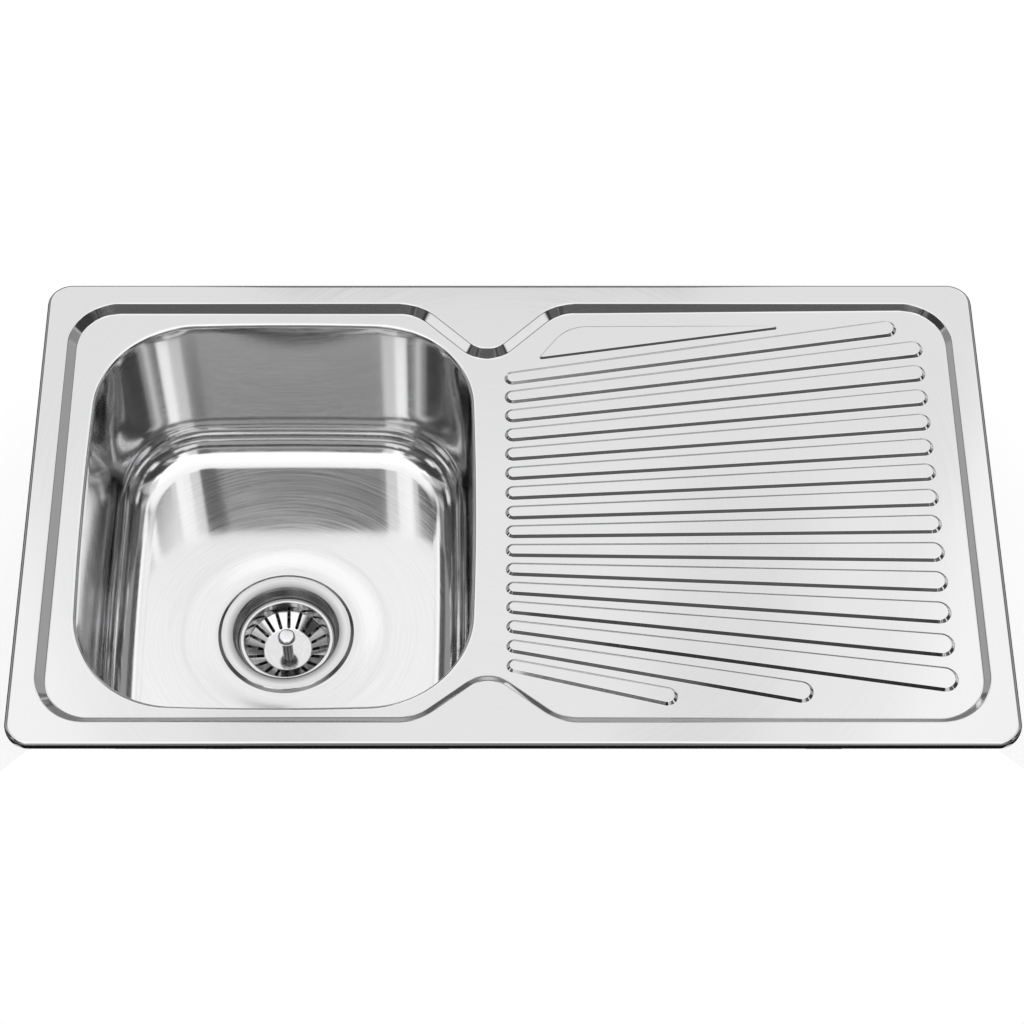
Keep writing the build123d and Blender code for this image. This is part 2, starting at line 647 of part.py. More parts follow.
UNDER_FLOOR = WASTE_FLOOR - SHEET
BODY_TOP = UNDER_FLOOR - UNDER_GASKET
LEDGE = FLANGE_TOP - LEDGE_DEPTH
save(ring(*GASKET, WASTE_FLOOR, TOP_GASKET), "cup_gasket", (0.12, 0.12, 0.12))
save(ring(*GASKET, BODY_TOP, UNDER_GASKET), "under_gasket", (0.12, 0.12, 0.12))

with BuildPart() as waste_cup:
    flange_foot = WASTE_FLOOR + TOP_GASKET
    mouth_top = FLANGE_TOP - FLANGE_FALL
    with BuildSketch(waste_axis):
        with BuildLine():
            Polyline(
                (0, CUP_BOTTOM),
                (CUP_WALL, CUP_BOTTOM),
                (CUP_WALL, LEDGE),
                (CUP_LEDGE_OUTER, LEDGE),
                (CUP_MOUTH - CUP_SHEET, mouth_top - CUP_SHEET),
                (CUP_MOUTH, mouth_top),
                (CUP_FLANGE - FLANGE_ROUND, FLANGE_TOP),
                (CUP_FLANGE, FLANGE_TOP - FLANGE_ROUND),
                (CUP_FLANGE, flange_foot - TOP_GASKET / 2),
                (CUP_FLANGE - CUP_SHEET, flange_foot - TOP_GASKET / 2),
                (CUP_FLANGE - CUP_SHEET, flange_foot),
                (CUP_MOUTH + CUP_SHEET / 2, flange_foot),
                (CUP_LEDGE_OUTER + CUP_SHEET, LEDGE - CUP_SHEET),
                (CUP_WALL + CUP_SHEET, LEDGE - CUP_SHEET),
                (CUP_WALL + CUP_SHEET, CUP_BOTTOM - CUP_SHEET),
                (0, CUP_BOTTOM - CUP_SHEET),
                close=True,
            )
        make_face()
    revolve(axis=spin_axis)
    with BuildSketch(Plane(origin=(WASTE_X, WASTE_Y, CUP_BOTTOM + CUP_SHEET))):
        Circle(OUTLET_SLOT[1])
        Circle(OUTLET_SLOT[0], mode=Mode.SUBTRACT)
        Rectangle(2 * OUTLET_SLOT[1], OUTLET_WEB, mode=Mode.SUBTRACT)
        Rectangle(OUTLET_WEB, 2 * OUTLET_SLOT[1], mode=Mode.SUBTRACT)
        Circle(SCREW_RADIUS + FIT)
    extrude(amount=-3 * CUP_SHEET, mode=Mode.SUBTRACT)
save(waste_cup.part, "waste_cup", (0.72, 0.72, 0.75))

BODY_INNER_TOP = CUP_LEDGE_OUTER + CUP_SHEET + BODY_GAP
BODY_INNER = CUP_WALL + CUP_SHEET + BODY_GAP
FUNNEL_TOP = CUP_BOTTOM - CUP_SHEET - BODY_FLOOR
SPIGOT_TOP = FUNNEL_TOP - FUNNEL
SPIGOT_FOOT = SPIGOT_TOP - SPIGOT_LENGTH
HUB_TOP = CUP_BOTTOM - CUP_SHEET
with BuildPart() as waste_body:
    body_mouth = CUP_MOUTH + CUP_SHEET / 2
    with BuildSketch(waste_axis):
        with BuildLine():
            Polyline(
                (body_mouth, BODY_TOP),
                (BODY_FLANGE, BODY_TOP),
                (BODY_FLANGE, BODY_TOP - BODY_FLANGE_HEIGHT),
                (BODY_INNER_TOP + BODY_WALL, BODY_TOP - BODY_FLANGE_HEIGHT),
                (BODY_INNER_TOP + BODY_WALL, LEDGE - CUP_SHEET - BODY_WALL),
                (BODY_INNER + BODY_WALL, LEDGE - CUP_SHEET - 2 * BODY_WALL),
                (BODY_INNER + BODY_WALL, FUNNEL_TOP),
                (SPIGOT_RADIUS, SPIGOT_TOP),
                (SPIGOT_BORE, SPIGOT_TOP),
                (BODY_INNER, FUNNEL_TOP + BODY_WALL / 2),
                (BODY_INNER, LEDGE - CUP_SHEET - BODY_WALL),
                (BODY_INNER_TOP, LEDGE - CUP_SHEET),
                close=True,
            )
        make_face()
    revolve(axis=spin_axis)
    # A hub on four arms takes the screw that draws the body up to the cup.
    with BuildSketch(Plane(origin=(WASTE_X, WASTE_Y, HUB_TOP))):
        Rectangle(2 * BODY_INNER + BODY_WALL, SPIDER[0])
        Rectangle(SPIDER[0], 2 * BODY_INNER + BODY_WALL)
    extrude(amount=-SPIDER[1])
    with BuildSketch(Plane(origin=(WASTE_X, WASTE_Y, HUB_TOP))):
        Circle(HUB_RADIUS)
    extrude(amount=-HUB_HEIGHT)
    with BuildSketch(Plane(origin=(WASTE_X, WASTE_Y, HUB_TOP))):
        Circle(INSERT_RADIUS)
    extrude(amount=-HUB_HEIGHT, mode=Mode.SUBTRACT)
save(waste_body.part, "waste_body", (0.9, 0.9, 0.9))

# The outlet tail is welded to the funnel's foot.
waste_tail = ring(SPIGOT_BORE, SPIGOT_RADIUS, SPIGOT_FOOT, SPIGOT_LENGTH)
save(waste_tail, "waste_tail", (0.9, 0.9, 0.9))

insert = ring(SCREW_RADIUS + FIT, INSERT_RADIUS, HUB_TOP - HUB_HEIGHT, HUB_HEIGHT)
save(insert, "hub_insert", (0.8, 0.65, 0.3))

with BuildPart() as waste_screw:
    with BuildSketch(Plane(origin=(WASTE_X, WASTE_Y, CUP_BOTTOM))):
        Circle(SCREW_HEAD[0])
    extrude(amount=SCREW_HEAD[1])
    with BuildSketch(Plane(origin=(WASTE_X, WASTE_Y, CUP_BOTTOM))):
        Circle(SCREW_RADIUS)
    extrude(amount=-HUB_HEIGHT)
    with BuildSketch(Plane(origin=(WASTE_X, WASTE_Y, CUP_BOTTOM + SCREW_HEAD[1]))):
        Rectangle(2 * SCREW_HEAD[0], SCREW_HEAD[1] / 2)
    extrude(amount=-SCREW_HEAD[1] / 2, mode=Mode.SUBTRACT)
save(waste_screw.part, "waste_screw", (0.75, 0.75, 0.78))

# ---- Basket with its knob and stopper ----------------------------------------------------------
BASKET_FLOOR = FLANGE_TOP - BASKET_DEPTH
RIM_FOOT = LEDGE + BASKET_SEAT_GAP
SHOULDER_Z = FLANGE_TOP - BASKET_SHOULDER_DEPTH
with BuildPart() as basket:
    with BuildSketch(waste_axis):
        with BuildLine():
            Polyline(
                (PIN_RADIUS, BASKET_FLOOR),
                (BASKET_DISC, BASKET_FLOOR),
                (BASKET_SHOULDER, SHOULDER_Z),
                (BASKET_WALL - BASKET_SHEET, RIM_FOOT + BASKET_RIM_HEIGHT),
                (BASKET_RIM, RIM_FOOT + BASKET_RIM_HEIGHT),
                (BASKET_RIM, RIM_FOOT),
                (BASKET_WALL, RIM_FOOT),
                (BASKET_SHOULDER + BASKET_SHEET, SHOULDER_Z - BASKET_SHEET / 2),
                (BASKET_DISC + BASKET_SHEET / 2, BASKET_FLOOR - BASKET_SHEET),
                (PIN_RADIUS, BASKET_FLOOR - BASKET_SHEET),
                close=True,
            )
        make_face()
    revolve(axis=spin_axis)
    fillet(basket.edges().group_by(Axis.Z)[-1], radius=BASKET_RIM_HEIGHT / 3)
    slot_length = SLOT_OUTER - SLOT_INNER
    with BuildSketch(Plane(origin=(WASTE_X, WASTE_Y, SHOULDER_Z + BASKET_SHEET))):
        with PolarLocations((SLOT_INNER + SLOT_OUTER) / 2, SLOT_COUNT):
            SlotOverall(slot_length, SLOT_WIDTH)
    extrude(amount=-BASKET_DEPTH, mode=Mode.SUBTRACT)
save(basket.part, "basket", (0.78, 0.78, 0.8))

with BuildPart() as basket_knob:
    crown = FLANGE_TOP - KNOB_TOP
    knob_foot = crown - KNOB_HEIGHT
    stopper_hollow_top = CUP_BOTTOM + SCREW_HEAD[1] + STOPPER_EDGE
    with BuildSketch(waste_axis):
        with BuildLine():
            Spline(
                (0, crown),
                (KNOB_RADIUS, knob_foot + KNOB_WIDEST * KNOB_HEIGHT),
                (NECK_RADIUS, knob_foot),
                tangents=((1, 0), KNOB_UNDERCUT),
            )
            Polyline(
                (NECK_RADIUS, knob_foot),
                (STEM_RADIUS, knob_foot - STEM_RADIUS / 2),
                (STEM_RADIUS, BASKET_FLOOR),
                (PIN_RADIUS, BASKET_FLOOR),
                (PIN_RADIUS, stopper_hollow_top),
                (0, stopper_hollow_top),
                (0, crown),
            )
        make_face()
    revolve(axis=spin_axis)
save(basket_knob.part, "basket_knob", (0.8, 0.8, 0.82))

with BuildPart() as basket_stopper:
    stopper_top = BASKET_FLOOR - BASKET_SHEET - FIT
    stopper_foot = CUP_BOTTOM + STOPPER_GAP
    with BuildSketch(waste_axis):
        with BuildLine():
            Polyline(
                (PIN_RADIUS + FIT, stopper_top),
                (STOPPER_TOP, stopper_top),
                (STOPPER_RADIUS, stopper_foot + STOPPER_EDGE),
                (STOPPER_RADIUS, stopper_foot),
                (STOPPER_HOLLOW, stopper_foot),
                (STOPPER_HOLLOW, stopper_hollow_top),
                (PIN_RADIUS + FIT, stopper_hollow_top),
                close=True,
            )
        make_face()
    revolve(axis=spin_axis)
save(basket_stopper.part, "basket_stopper", (0.1, 0.1, 0.1))
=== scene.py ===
"""Looks of an inset kitchen sink with a bowl, a fan-ribbed drainboard and a basket waste.

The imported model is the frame. The pressed top, the bowl and the waste's bright parts are made
again here as smooth sheets and turned shapes of the same sizes, in millimetres, and the rest of
the model keeps its own meshes under new finishes.
"""
import logging
import math
from collections.abc import Callable, Sequence
from dataclasses import dataclass, field
from enum import Enum

import bmesh
import bpy
import numpy as np
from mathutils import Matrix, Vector
from mathutils.geometry import delaunay_2d_cdt


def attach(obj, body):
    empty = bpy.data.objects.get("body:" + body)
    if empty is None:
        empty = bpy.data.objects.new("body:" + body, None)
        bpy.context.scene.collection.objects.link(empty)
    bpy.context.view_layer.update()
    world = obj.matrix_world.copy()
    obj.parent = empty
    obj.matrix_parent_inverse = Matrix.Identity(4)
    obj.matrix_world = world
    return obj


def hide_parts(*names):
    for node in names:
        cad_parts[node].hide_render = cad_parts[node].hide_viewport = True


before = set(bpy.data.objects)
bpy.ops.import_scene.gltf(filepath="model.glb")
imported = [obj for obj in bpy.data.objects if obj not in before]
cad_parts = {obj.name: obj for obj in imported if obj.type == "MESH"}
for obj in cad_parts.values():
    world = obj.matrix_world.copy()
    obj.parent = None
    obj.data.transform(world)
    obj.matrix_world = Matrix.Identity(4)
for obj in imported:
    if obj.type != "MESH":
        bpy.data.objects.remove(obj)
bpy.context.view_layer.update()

LOG = logging.getLogger("sink")
MM = 0.001
WASTE_AXIS = (-0.1905, 0.1915)  # upright axis of the waste, in metres
NOISE_RANGE = (0.3, 0.7)  # most of a noise's values lie between these
MERGE = 1e-6  # points closer than this are one
GUARD = 0.35  # width of the flat strip beside each rounding, which keeps the flats flat
POLE = 0.02  # smallest radius of a turned ring
SHEET_EDGE = math.radians(40)  # sharper bends of a thickened sheet show as edges
TURNED_EDGE = math.radians(50)  # the same on turned shapes
Ring = np.ndarray
FacingTest = Callable[[np.ndarray, np.ndarray], float]  # above 0 where faces point the right way


class Slot(Enum):
    """Names of the record's material slots for the top, the bowl and the waste; nothing in this script reads
    them.
    """

    TOP = "pressed_steel"
    BOWL = "bowl_steel"
    WASTE = "waste_steel"


class Body(Enum):
    """Bodies that the new pieces ride on."""

    SINK = "sink"
    BASKET = "basket_turn"


# ---- Finishes ------------------------------------------------------------------------------------
class NodeSheet:
    """Short way to place and link the nodes of one material."""

    def __init__(self, name: str) -> None:
        """Starts an empty material.

        Args:
            name: Name of the material.
        """
        self.material = bpy.data.materials.new(name)
        self.material.use_nodes = True
        self.nodes = self.material.node_tree.nodes
        self.links = self.material.node_tree.links
        self.nodes.clear()
        self.output = self.nodes.new("ShaderNodeOutputMaterial")

    def add(self, kind: str, **settings: object) -> bpy.types.Node:
        """Adds a node.

        Args:
            kind: Type name of the node.
            settings: Attributes of the node.

        Returns:
            The new node.
        """
        node = self.nodes.new(kind)
        for key, value in settings.items():
            setattr(node, key, value)
        return node

    def link(self, source: bpy.types.NodeSocket, target: bpy.types.NodeSocket) -> None:
        """Links two sockets."""
        self.links.new(source, target)

    def surface(self, color: Sequence[float], metallic: float, roughness: float) -> bpy.types.Node:
        """Adds the main shader and links it to the output.

        Args:
            color: Base colour.
            metallic: 0 or 1.
            roughness: Plain roughness.

        Returns:
            The shader node.
        """
        shader = self.add("ShaderNodeBsdfPrincipled")
        shader.inputs["Base Color"].default_value = (*color, 1.0)
        shader.inputs["Metallic"].default_value = metallic
        shader.inputs["Roughness"].default_value = roughness
        self.link(shader.outputs[0], self.output.inputs["Surface"])
        return shader

    def pattern(self, scale: float, detail: float = 4.0) -> bpy.types.Node:
        """Adds noise on the piece's own coordinates.

        Args:
            scale: Scale of the noise.
            detail: Octaves of the noise.

        Returns:
            The noise node.
        """
        place = self.add("ShaderNodeTexCoord")
        noise = self.add("ShaderNodeTexNoise")
        noise.inputs["Scale"].default_value = scale
        noise.inputs["Detail"].default_value = detail
        self.link(place.outputs["Object"], noise.inputs["Vector"])
        return noise

    def calculate(self, operation: str, *values: bpy.types.NodeSocket | float) -> bpy.types.NodeSocket:
        """Adds a calculation with sockets or numbers.

        Args:
            operation: Kind of calculation.
            values: What goes in.

        Returns:
            The result's socket.
        """
        node = self.add("ShaderNodeMath", operation=operation)
        for socket, value in zip(node.inputs, values):
            if isinstance(value, float):
                socket.default_value = value
            else:
                self.link(value, socket)
        return node.outputs[0]

    def stretch(
        self,
        source: bpy.types.NodeSocket,
        old: tuple[float, float],
        new: tuple[float, float],
        **settings: object,
    ) -> bpy.types.NodeSocket:
        """Maps one range onto another and holds the ends.

        Args:
            source: Socket of the value.
            old: Its range.
            new: What the range's ends become.
            settings: Attributes of the node.

        Returns:
            The mapped socket.
        """
        ranged = self.add("ShaderNodeMapRange", **settings)
        for name, value in zip(("From Min", "From Max", "To Min", "To Max"), (*old, *new)):
            ranged.inputs[name].default_value = value
        self.link(source, ranged.inputs["Value"])
        return ranged.outputs[0]

    def remap(self, noise: bpy.types.NodeSocket, low: float, high: float) -> bpy.types.NodeSocket:
        """Maps the range that a noise fills to low and high."""
        return self.stretch(noise, NOISE_RANGE, (low, high))

    def bump(
        self, shader: bpy.types.Node, height: bpy.types.NodeSocket, strength: float, reach: float
    ) -> None:
        """Links a bump to the shader.

        Args:
            shader: Main shader.
            height: Height socket.
            strength: Strength of the bump.
            reach: Height in metres that the pattern stands for.
        """
        bump = self.add("ShaderNodeBump")
        bump.inputs["Strength"].default_value = strength
        bump.inputs["Distance"].default_value = reach
        self.link(height, bump.inputs["Height"])
        self.link(bump.outputs[0], shader.inputs["Normal"])


@dataclass(frozen=True)
class PaintedShadeZone:
    """A height at which painted shade starts or ends: above it a piece's tone is multiplied by tone, and its
    roughness by polish.
    """

    height: float
    tone: float
    polish: float = 1.0
    edge: float = 0.0012


@dataclass(frozen=True)
class Steel:
    """Stainless steel: a bright skin with a fine brushed grain, faint patches and hairline marks.

    The grain lies level on the walls and runs round an upright axis on the flats, as a polishing
    wheel leaves it. A painted shade zone, where given, changes the tone at a height, so the part on
    one side of it shows painted shade.
    """

    name: str
    color: tuple[float, float, float]
    smooth: float
    rough: float
    axis: tuple[float, float] = (0.0, 0.2125)
    grain: float = 900.0
    grain_depth: float = 0.02
    tone: tuple[float, float] = (0.97, 1.03)
    # height at which painted shade starts or ends; most steel has none
    painted_shade_zone: PaintedShadeZone | None = None
    along: float = 2.5  # scale of the grain along its marks, far below that across them
    scratch: float = 0.00005  # height of the marks, in metres
    patches: float = 7.0
    patch_share: tuple[float, float] = (0.85, 1.15)

    def build(self) -> bpy.types.Material:
        """Builds the finish.

        Returns:
            The material.
        """
        sheet = NodeSheet(self.name)
        shader = sheet.surface(self.color, 1.0, self.smooth)
        place = sheet.add("ShaderNodeTexCoord")
        centred = sheet.add("ShaderNodeMapping")
        centred.inputs["Location"].default_value = (-self.axis[0], -self.axis[1], 0.0)
        sheet.link(place.outputs["Object"], centred.inputs["Vector"])
        parts = sheet.add("ShaderNodeSeparateXYZ")
        sheet.link(centred.outputs[0], parts.inputs[0])
        x, y, z = parts.outputs
        flat = sheet.add("ShaderNodeCombineXYZ")
        sheet.link(x, flat.inputs[0])
        sheet.link(y, flat.inputs[1])
        reach = sheet.add("ShaderNodeVectorMath", operation="LENGTH")
        sheet.link(flat.outputs[0], reach.inputs[0])
        turn = sheet.calculate("ARCTAN2", y, x)
        polar = sheet.add("ShaderNodeCombineXYZ")
        for socket, target in zip((reach.outputs["Value"], turn, z), polar.inputs):
            sheet.link(socket, target)
        stretch = sheet.add("ShaderNodeMapping")
        stretch.inputs["Scale"].default_value = (self.grain, self.along, self.grain)
        sheet.link(polar.outputs[0], stretch.inputs["Vector"])
        grain = sheet.add("ShaderNodeTexNoise")
        grain.inputs["Scale"].default_value = 1.0
        grain.inputs["Detail"].default_value = 2.0
        sheet.link(stretch.outputs[0], grain.inputs["Vector"])
        wear = sheet.pattern(self.patches, 3.0)
        mixed = sheet.calculate("MULTIPLY", grain.outputs[0], sheet.remap(wear.outputs[0], *self.patch_share))
        polish = sheet.remap(mixed, self.smooth, self.rough)
        tone = sheet.remap(mixed, *self.tone)
        if self.painted_shade_zone:
            # Painted shade: the tone steps at the zone's height; the polish steps there too
            tone = self._zoned(sheet, z, tone, self.painted_shade_zone.tone)
            polish = self._zoned(sheet, z, polish, self.painted_shade_zone.polish)
        sheet.link(polish, shader.inputs["Roughness"])
        tint = sheet.add("ShaderNodeVectorMath", operation="SCALE")
        tint.inputs[0].default_value = self.color
        sheet.link(tone, tint.inputs["Scale"])
        sheet.link(tint.outputs[0], shader.inputs["Base Color"])
        sheet.bump(shader, grain.outputs[0], self.grain_depth, self.scratch)
        return sheet.material

    def _zoned(
        self, sheet: NodeSheet, z: bpy.types.NodeSocket, value: bpy.types.NodeSocket, factor: float
    ) -> bpy.types.NodeSocket:
        """Multiplies a value by a factor above the zone's height. Returns the result's socket."""
        edge = (self.painted_shade_zone.height, self.painted_shade_zone.height + self.painted_shade_zone.edge)
        return sheet.calculate("MULTIPLY", value, sheet.stretch(z, edge, (1.0, factor)))


@dataclass(frozen=True)
class PlatedSteel:
    """Dull zinc plating with a faint spangle."""

    name: str
    color: tuple[float, float, float] = (0.58, 0.60, 0.62)
    polish: tuple[float, float] = (0.30, 0.46)
    spangle: float = 420.0
    spangle_share: float = 0.25
    tint_share: float = 0.12
    cloud: float = 160.0

    def build(self) -> bpy.types.Material:
        """Builds the finish.

        Returns:
            The material.
        """
        sheet = NodeSheet(self.name)
        shader = sheet.surface(self.color, 1.0, sum(self.polish) / 2)
        spangle = sheet.add("ShaderNodeTexVoronoi")
        place = sheet.add("ShaderNodeTexCoord")
        spangle.inputs["Scale"].default_value = self.spangle
        sheet.link(place.outputs["Object"], spangle.inputs["Vector"])
        tint = sheet.add("ShaderNodeMixRGB", blend_type="MULTIPLY")
        tint.inputs["Fac"].default_value = self.spangle_share
        tint.inputs["Color1"].default_value = (*self.color, 1.0)
        sheet.link(spangle.outputs["Color"], tint.inputs["Color2"])
        grey = sheet.add("ShaderNodeHueSaturation")
        grey.inputs["Saturation"].default_value = self.tint_share
        sheet.link(tint.outputs[0], grey.inputs["Color"])
        sheet.link(grey.outputs[0], shader.inputs["Base Color"])
        noise = sheet.pattern(self.cloud)
        sheet.link(sheet.remap(noise.outputs[0], *self.polish), shader.inputs["Roughness"])
        return sheet.material


@dataclass(frozen=True)
class Moulded:
    """Rubber, plastic, foam or bitumen: a dull solid colour with a grained skin."""

    name: str
    color: tuple[float, float, float]
    roughness: float
    grain: float = 900.0
    depth: float = 0.2
    reach: float = 0.0002
    clouds: float = 12.0  # how many times broader the clouds of tone are than the grain
    tones: tuple[float, float] = (0.86, 1.12)
    spread: float = 0.1

    def build(self) -> bpy.types.Material:
        """Builds the finish.

        Returns:
            The material.
        """
        sheet = NodeSheet(self.name)
        shader = sheet.surface(self.color, 0.0, self.roughness)
        noise = sheet.pattern(self.grain)
        broad = sheet.pattern(self.grain / self.clouds, 2.0)
        tint = sheet.add("ShaderNodeMixRGB")
        for name, tone in zip(("Color1", "Color2"), self.tones):
            tint.inputs[name].default_value = (*[min(1.0, share * tone) for share in self.color], 1.0)
        sheet.link(broad.outputs[0], tint.inputs["Fac"])
        sheet.link(tint.outputs[0], shader.inputs["Base Color"])
        rough = (self.roughness - self.spread, min(1.0, self.roughness + self.spread))
        sheet.link(sheet.remap(noise.outputs[0], *rough), shader.inputs["Roughness"])
        sheet.bump(shader, noise.outputs[0], self.depth, self.reach)
        return sheet.material


# ---- Outlines and sheets -------------------------------------------------------------------------
@dataclass
class Outline:
    """Closed outline, counter-clockwise, with its outward normals."""

    points: Ring
    normals: Ring

    def grown(self, distance: float | np.ndarray) -> Ring:
        """Returns the outline moved outwards by distance, which may differ from point to point."""
        return self.points + self.normals * np.reshape(distance, (-1, 1))


class OutlineMaker:
    """Strings arcs together and joins them with straight runs."""

    def __init__(self, run: float) -> None:
        """Starts an empty outline.

        Args:
            run: Longest step along a straight run, in millimetres.
        """
        self.run = run
        self.points: list[np.ndarray] = []
        self.normals: list[np.ndarray] = []

    def arc(
        self,
        centre: Sequence[float],
        radius: float,
        start: float,
        stop: float,
        steps: int,
        inside: bool = False,
    ) -> "OutlineMaker":
        """Adds an arc, after a straight run from the last point.

        Args:
            centre: Centre of the arc.
            radius: Its radius.
            start: First angle, in degrees.
            stop: Last angle, in degrees.
            steps: Number of steps.
            inside: True where the centre lies outside the outline, so the normals point at it.

        Returns:
            The maker itself.
        """
        turns = np.radians(np.linspace(start, stop, steps + 1))
        radial = np.stack([np.cos(turns), np.sin(turns)], axis=1)
        points = np.asarray(centre) + radius * radial
        normals = -radial if inside else radial
        if self.points:
            self._join(points[0], normals[0])
        self.points.extend(points)
        self.normals.extend(normals)
        return self

    def _join(self, end: np.ndarray, normal: np.ndarray) -> None:
        """Adds the inner points of a straight run.

        Args:
            end: Where the run ends.
            normal: Outward normal there and along it.
        """
        start = self.points[-1]
        steps = max(1, math.ceil(float(np.linalg.norm(end - start)) / self.run))
        for share in np.arange(1, steps) / steps:
            self.points.append(start + share * (end - start))
            self.normals.append(normal)

    def close(self) -> Outline:
        """Closes the outline.

        Returns:
            The outline, without doubled points.
        """
        self._join(self.points[0], self.normals[0])
        points, normals = np.array(self.points), np.array(self.normals)
        doubled = 1e-4
        keep = np.linalg.norm(points - np.roll(points, 1, axis=0), axis=1) > doubled
        return Outline(points[keep], normals[keep])


def soft_step(
    width: np.ndarray, height: np.ndarray, radius: float, steps: int, guard: float
) -> list[tuple[np.ndarray, np.ndarray]]:
    """Profile of a sloped wall that is rounded at its foot and along its top.

    Args:
        width: Plan width of the sharp wall.
        height: Its height.
        radius: Radius of both roundings.
        steps: Steps of each rounding.
        guard: Width of the flat strip at each end.

    Returns:
        Distance from the sharp foot and height, row by row, with a flat guard row at each end.
    """
    slope = float(np.arctan2(np.ravel(height)[0], np.ravel(width)[0]))
    reach = radius * math.tan(slope / 2)
    turns = np.linspace(0, slope, steps + 1)
    foot, base, top = width * 0 - reach, height * 0, width + reach
    rows = [(foot - guard, base)]
    rows += [(foot + radius * math.sin(turn), base + radius * (1 - math.cos(turn))) for turn in turns]
    rows += [(top - radius * math.sin(turn), height - radius * (1 - math.cos(turn))) for turn in turns[::-1]]
    rows.append((top + guard, height))
    return rows


class SheetMesh:
    """Points and faces of one open sheet or closed turned shape, in millimetres."""

    def __init__(self) -> None:
        """Starts an empty mesh."""
        self.points: list[np.ndarray] = []
        self.faces: list[tuple[int, ...]] = []
        self.count = 0

    def ring(self, plan: Ring, height: float | np.ndarray) -> np.ndarray:
        """Adds one ring of points.

        Args:
            plan: Plan places.
            height: Height of all points, or of each.

        Returns:
            The new points' numbers.
        """
        self.points.append(np.column_stack([plan, np.broadcast_to(height, (len(plan),))]))
        self.count += len(plan)
        return np.arange(self.count - len(plan), self.count)

    def band(self, rings: Sequence[np.ndarray]) -> None:
        """Joins rings with four-sided faces.

        Args:
            rings: Rings of equal length, in order.
        """
        for near, far in zip(rings, rings[1:]):
            quads = np.column_stack([near, np.roll(near, -1), np.roll(far, -1), far])
            self.faces.extend(map(tuple, quads.tolist()))

    def cap(self, ring: np.ndarray) -> None:
        """Closes a flat ring with one face."""
        self.faces.append(tuple(ring.tolist()))

    def fill(
        self, outer: np.ndarray, holes: Sequence[np.ndarray], lines: Sequence[tuple[int, int]] = ()
    ) -> None:
        """Fills the flat between an outer ring and the rings of its holes.

        Args:
            outer: Ring round the flat.
            holes: Rings of what stands in it.
            lines: Pairs of points that an edge of the filling joins.
        """
        table = np.concatenate(self.points)
        used = np.concatenate([outer, *holes])
        place = {int(number): index for index, number in enumerate(used)}
        plan = [Vector(table[number][:2]) for number in used]
        sides = [pair for ring in (outer, *holes) for pair in zip(ring, np.roll(ring, -1))]
        edges = [(place[int(first)], place[int(last)]) for first, last in (*sides, *lines)]
        _, _, faces, origins, _, _ = delaunay_2d_cdt(plan, edges, [], 0, MERGE)
        corners = np.array([[used[origins[corner][0]] for corner in face] for face in faces])
        middles = table[corners][:, :, :2].mean(axis=1)
        keep = inside(middles, table[outer][:, :2])
        for hole in holes:
            keep &= ~inside(middles, table[hole][:, :2])
        self.faces.extend(map(tuple, corners[keep].tolist()))

    def build(self, name: str, up: FacingTest) -> bpy.types.Object:
        """Makes the mesh object, smooth, with consistent faces.

        Args:
            name: Name of the piece.
            up: Given the faces' middles and normals, a number above 0 where they point the right way.

        Returns:
            The new object, in metres.
        """
        mesh = bpy.data.meshes.new(name)
        mesh.from_pydata((np.concatenate(self.points) * MM).tolist(), [], self.faces)
        mesh.validate()
        obj = bpy.data.objects.new(name, mesh)
        bpy.context.scene.collection.objects.link(obj)
        tidy_mesh(mesh, up)
        return obj


def inside(points: np.ndarray, ring: np.ndarray) -> np.ndarray:
    """Says which plan points lie inside a ring.

    Args:
        points: Places to test.
        ring: Corners of the ring.

    Returns:
        One flag for each point.
    """
    ahead = np.roll(ring, -1, axis=0)
    x, y = points[:, :1], points[:, 1:]
    crosses = (ring[:, 1] > y) != (ahead[:, 1] > y)
    rise = np.where(ahead[:, 1] == ring[:, 1], 1.0, ahead[:, 1] - ring[:, 1])
    left = ring[:, 0] + (y - ring[:, 1]) * (ahead[:, 0] - ring[:, 0]) / rise
    return (np.sum(crosses & (x < left), axis=1) % 2).astype(bool)


def tidy_mesh(mesh: bpy.types.Mesh, up: FacingTest) -> None:
    """Merges doubled points, makes the faces agree, and turns them the right way.

    Args:
        mesh: Mesh to change.
        up: As in SheetMesh.build.
    """
    work = bmesh.new()
    work.from_mesh(mesh)
    bmesh.ops.remove_doubles(work, verts=work.verts, dist=MERGE)
    bmesh.ops.recalc_face_normals(work, faces=work.faces)
    middles = np.array([face.calc_center_median() for face in work.faces])
    normals = np.array([face.normal * face.calc_area() for face in work.faces])
    if up(middles, normals) < 0:
        bmesh.ops.reverse_faces(work, faces=work.faces)
    work.to_mesh(mesh)
    work.free()
    mesh.polygons.foreach_set("use_smooth", [True] * len(mesh.polygons))


def facing_up(_: np.ndarray, normals: np.ndarray) -> float:
    """Returns a number above 0 if most of the sheet faces up."""
    return float(normals[:, 2].sum())


def bake_modifiers(obj: bpy.types.Object) -> None:
    """Turns the object's modifiers into plain mesh.

    Args:
        obj: Object to change.
    """
    graph = bpy.context.evaluated_depsgraph_get()
    old = obj.data
    obj.data = bpy.data.meshes.new_from_object(obj.evaluated_get(graph))
    obj.data.name = obj.name
    obj.modifiers.clear()
    bpy.data.meshes.remove(old)


def thicken(obj: bpy.types.Object, thickness: float) -> None:
    """Gives an open sheet its thickness, behind its faces.

    Args:
        obj: Sheet.
        thickness: Thickness in millimetres.
    """
    solid = obj.modifiers.new("thickness", "SOLIDIFY")
    solid.thickness = thickness * MM
    solid.offset = -1.0
    solid.use_even_offset = True
    solid.use_rim = True
    bake_modifiers(obj)
    obj.data.set_sharp_from_angle(angle=SHEET_EDGE)


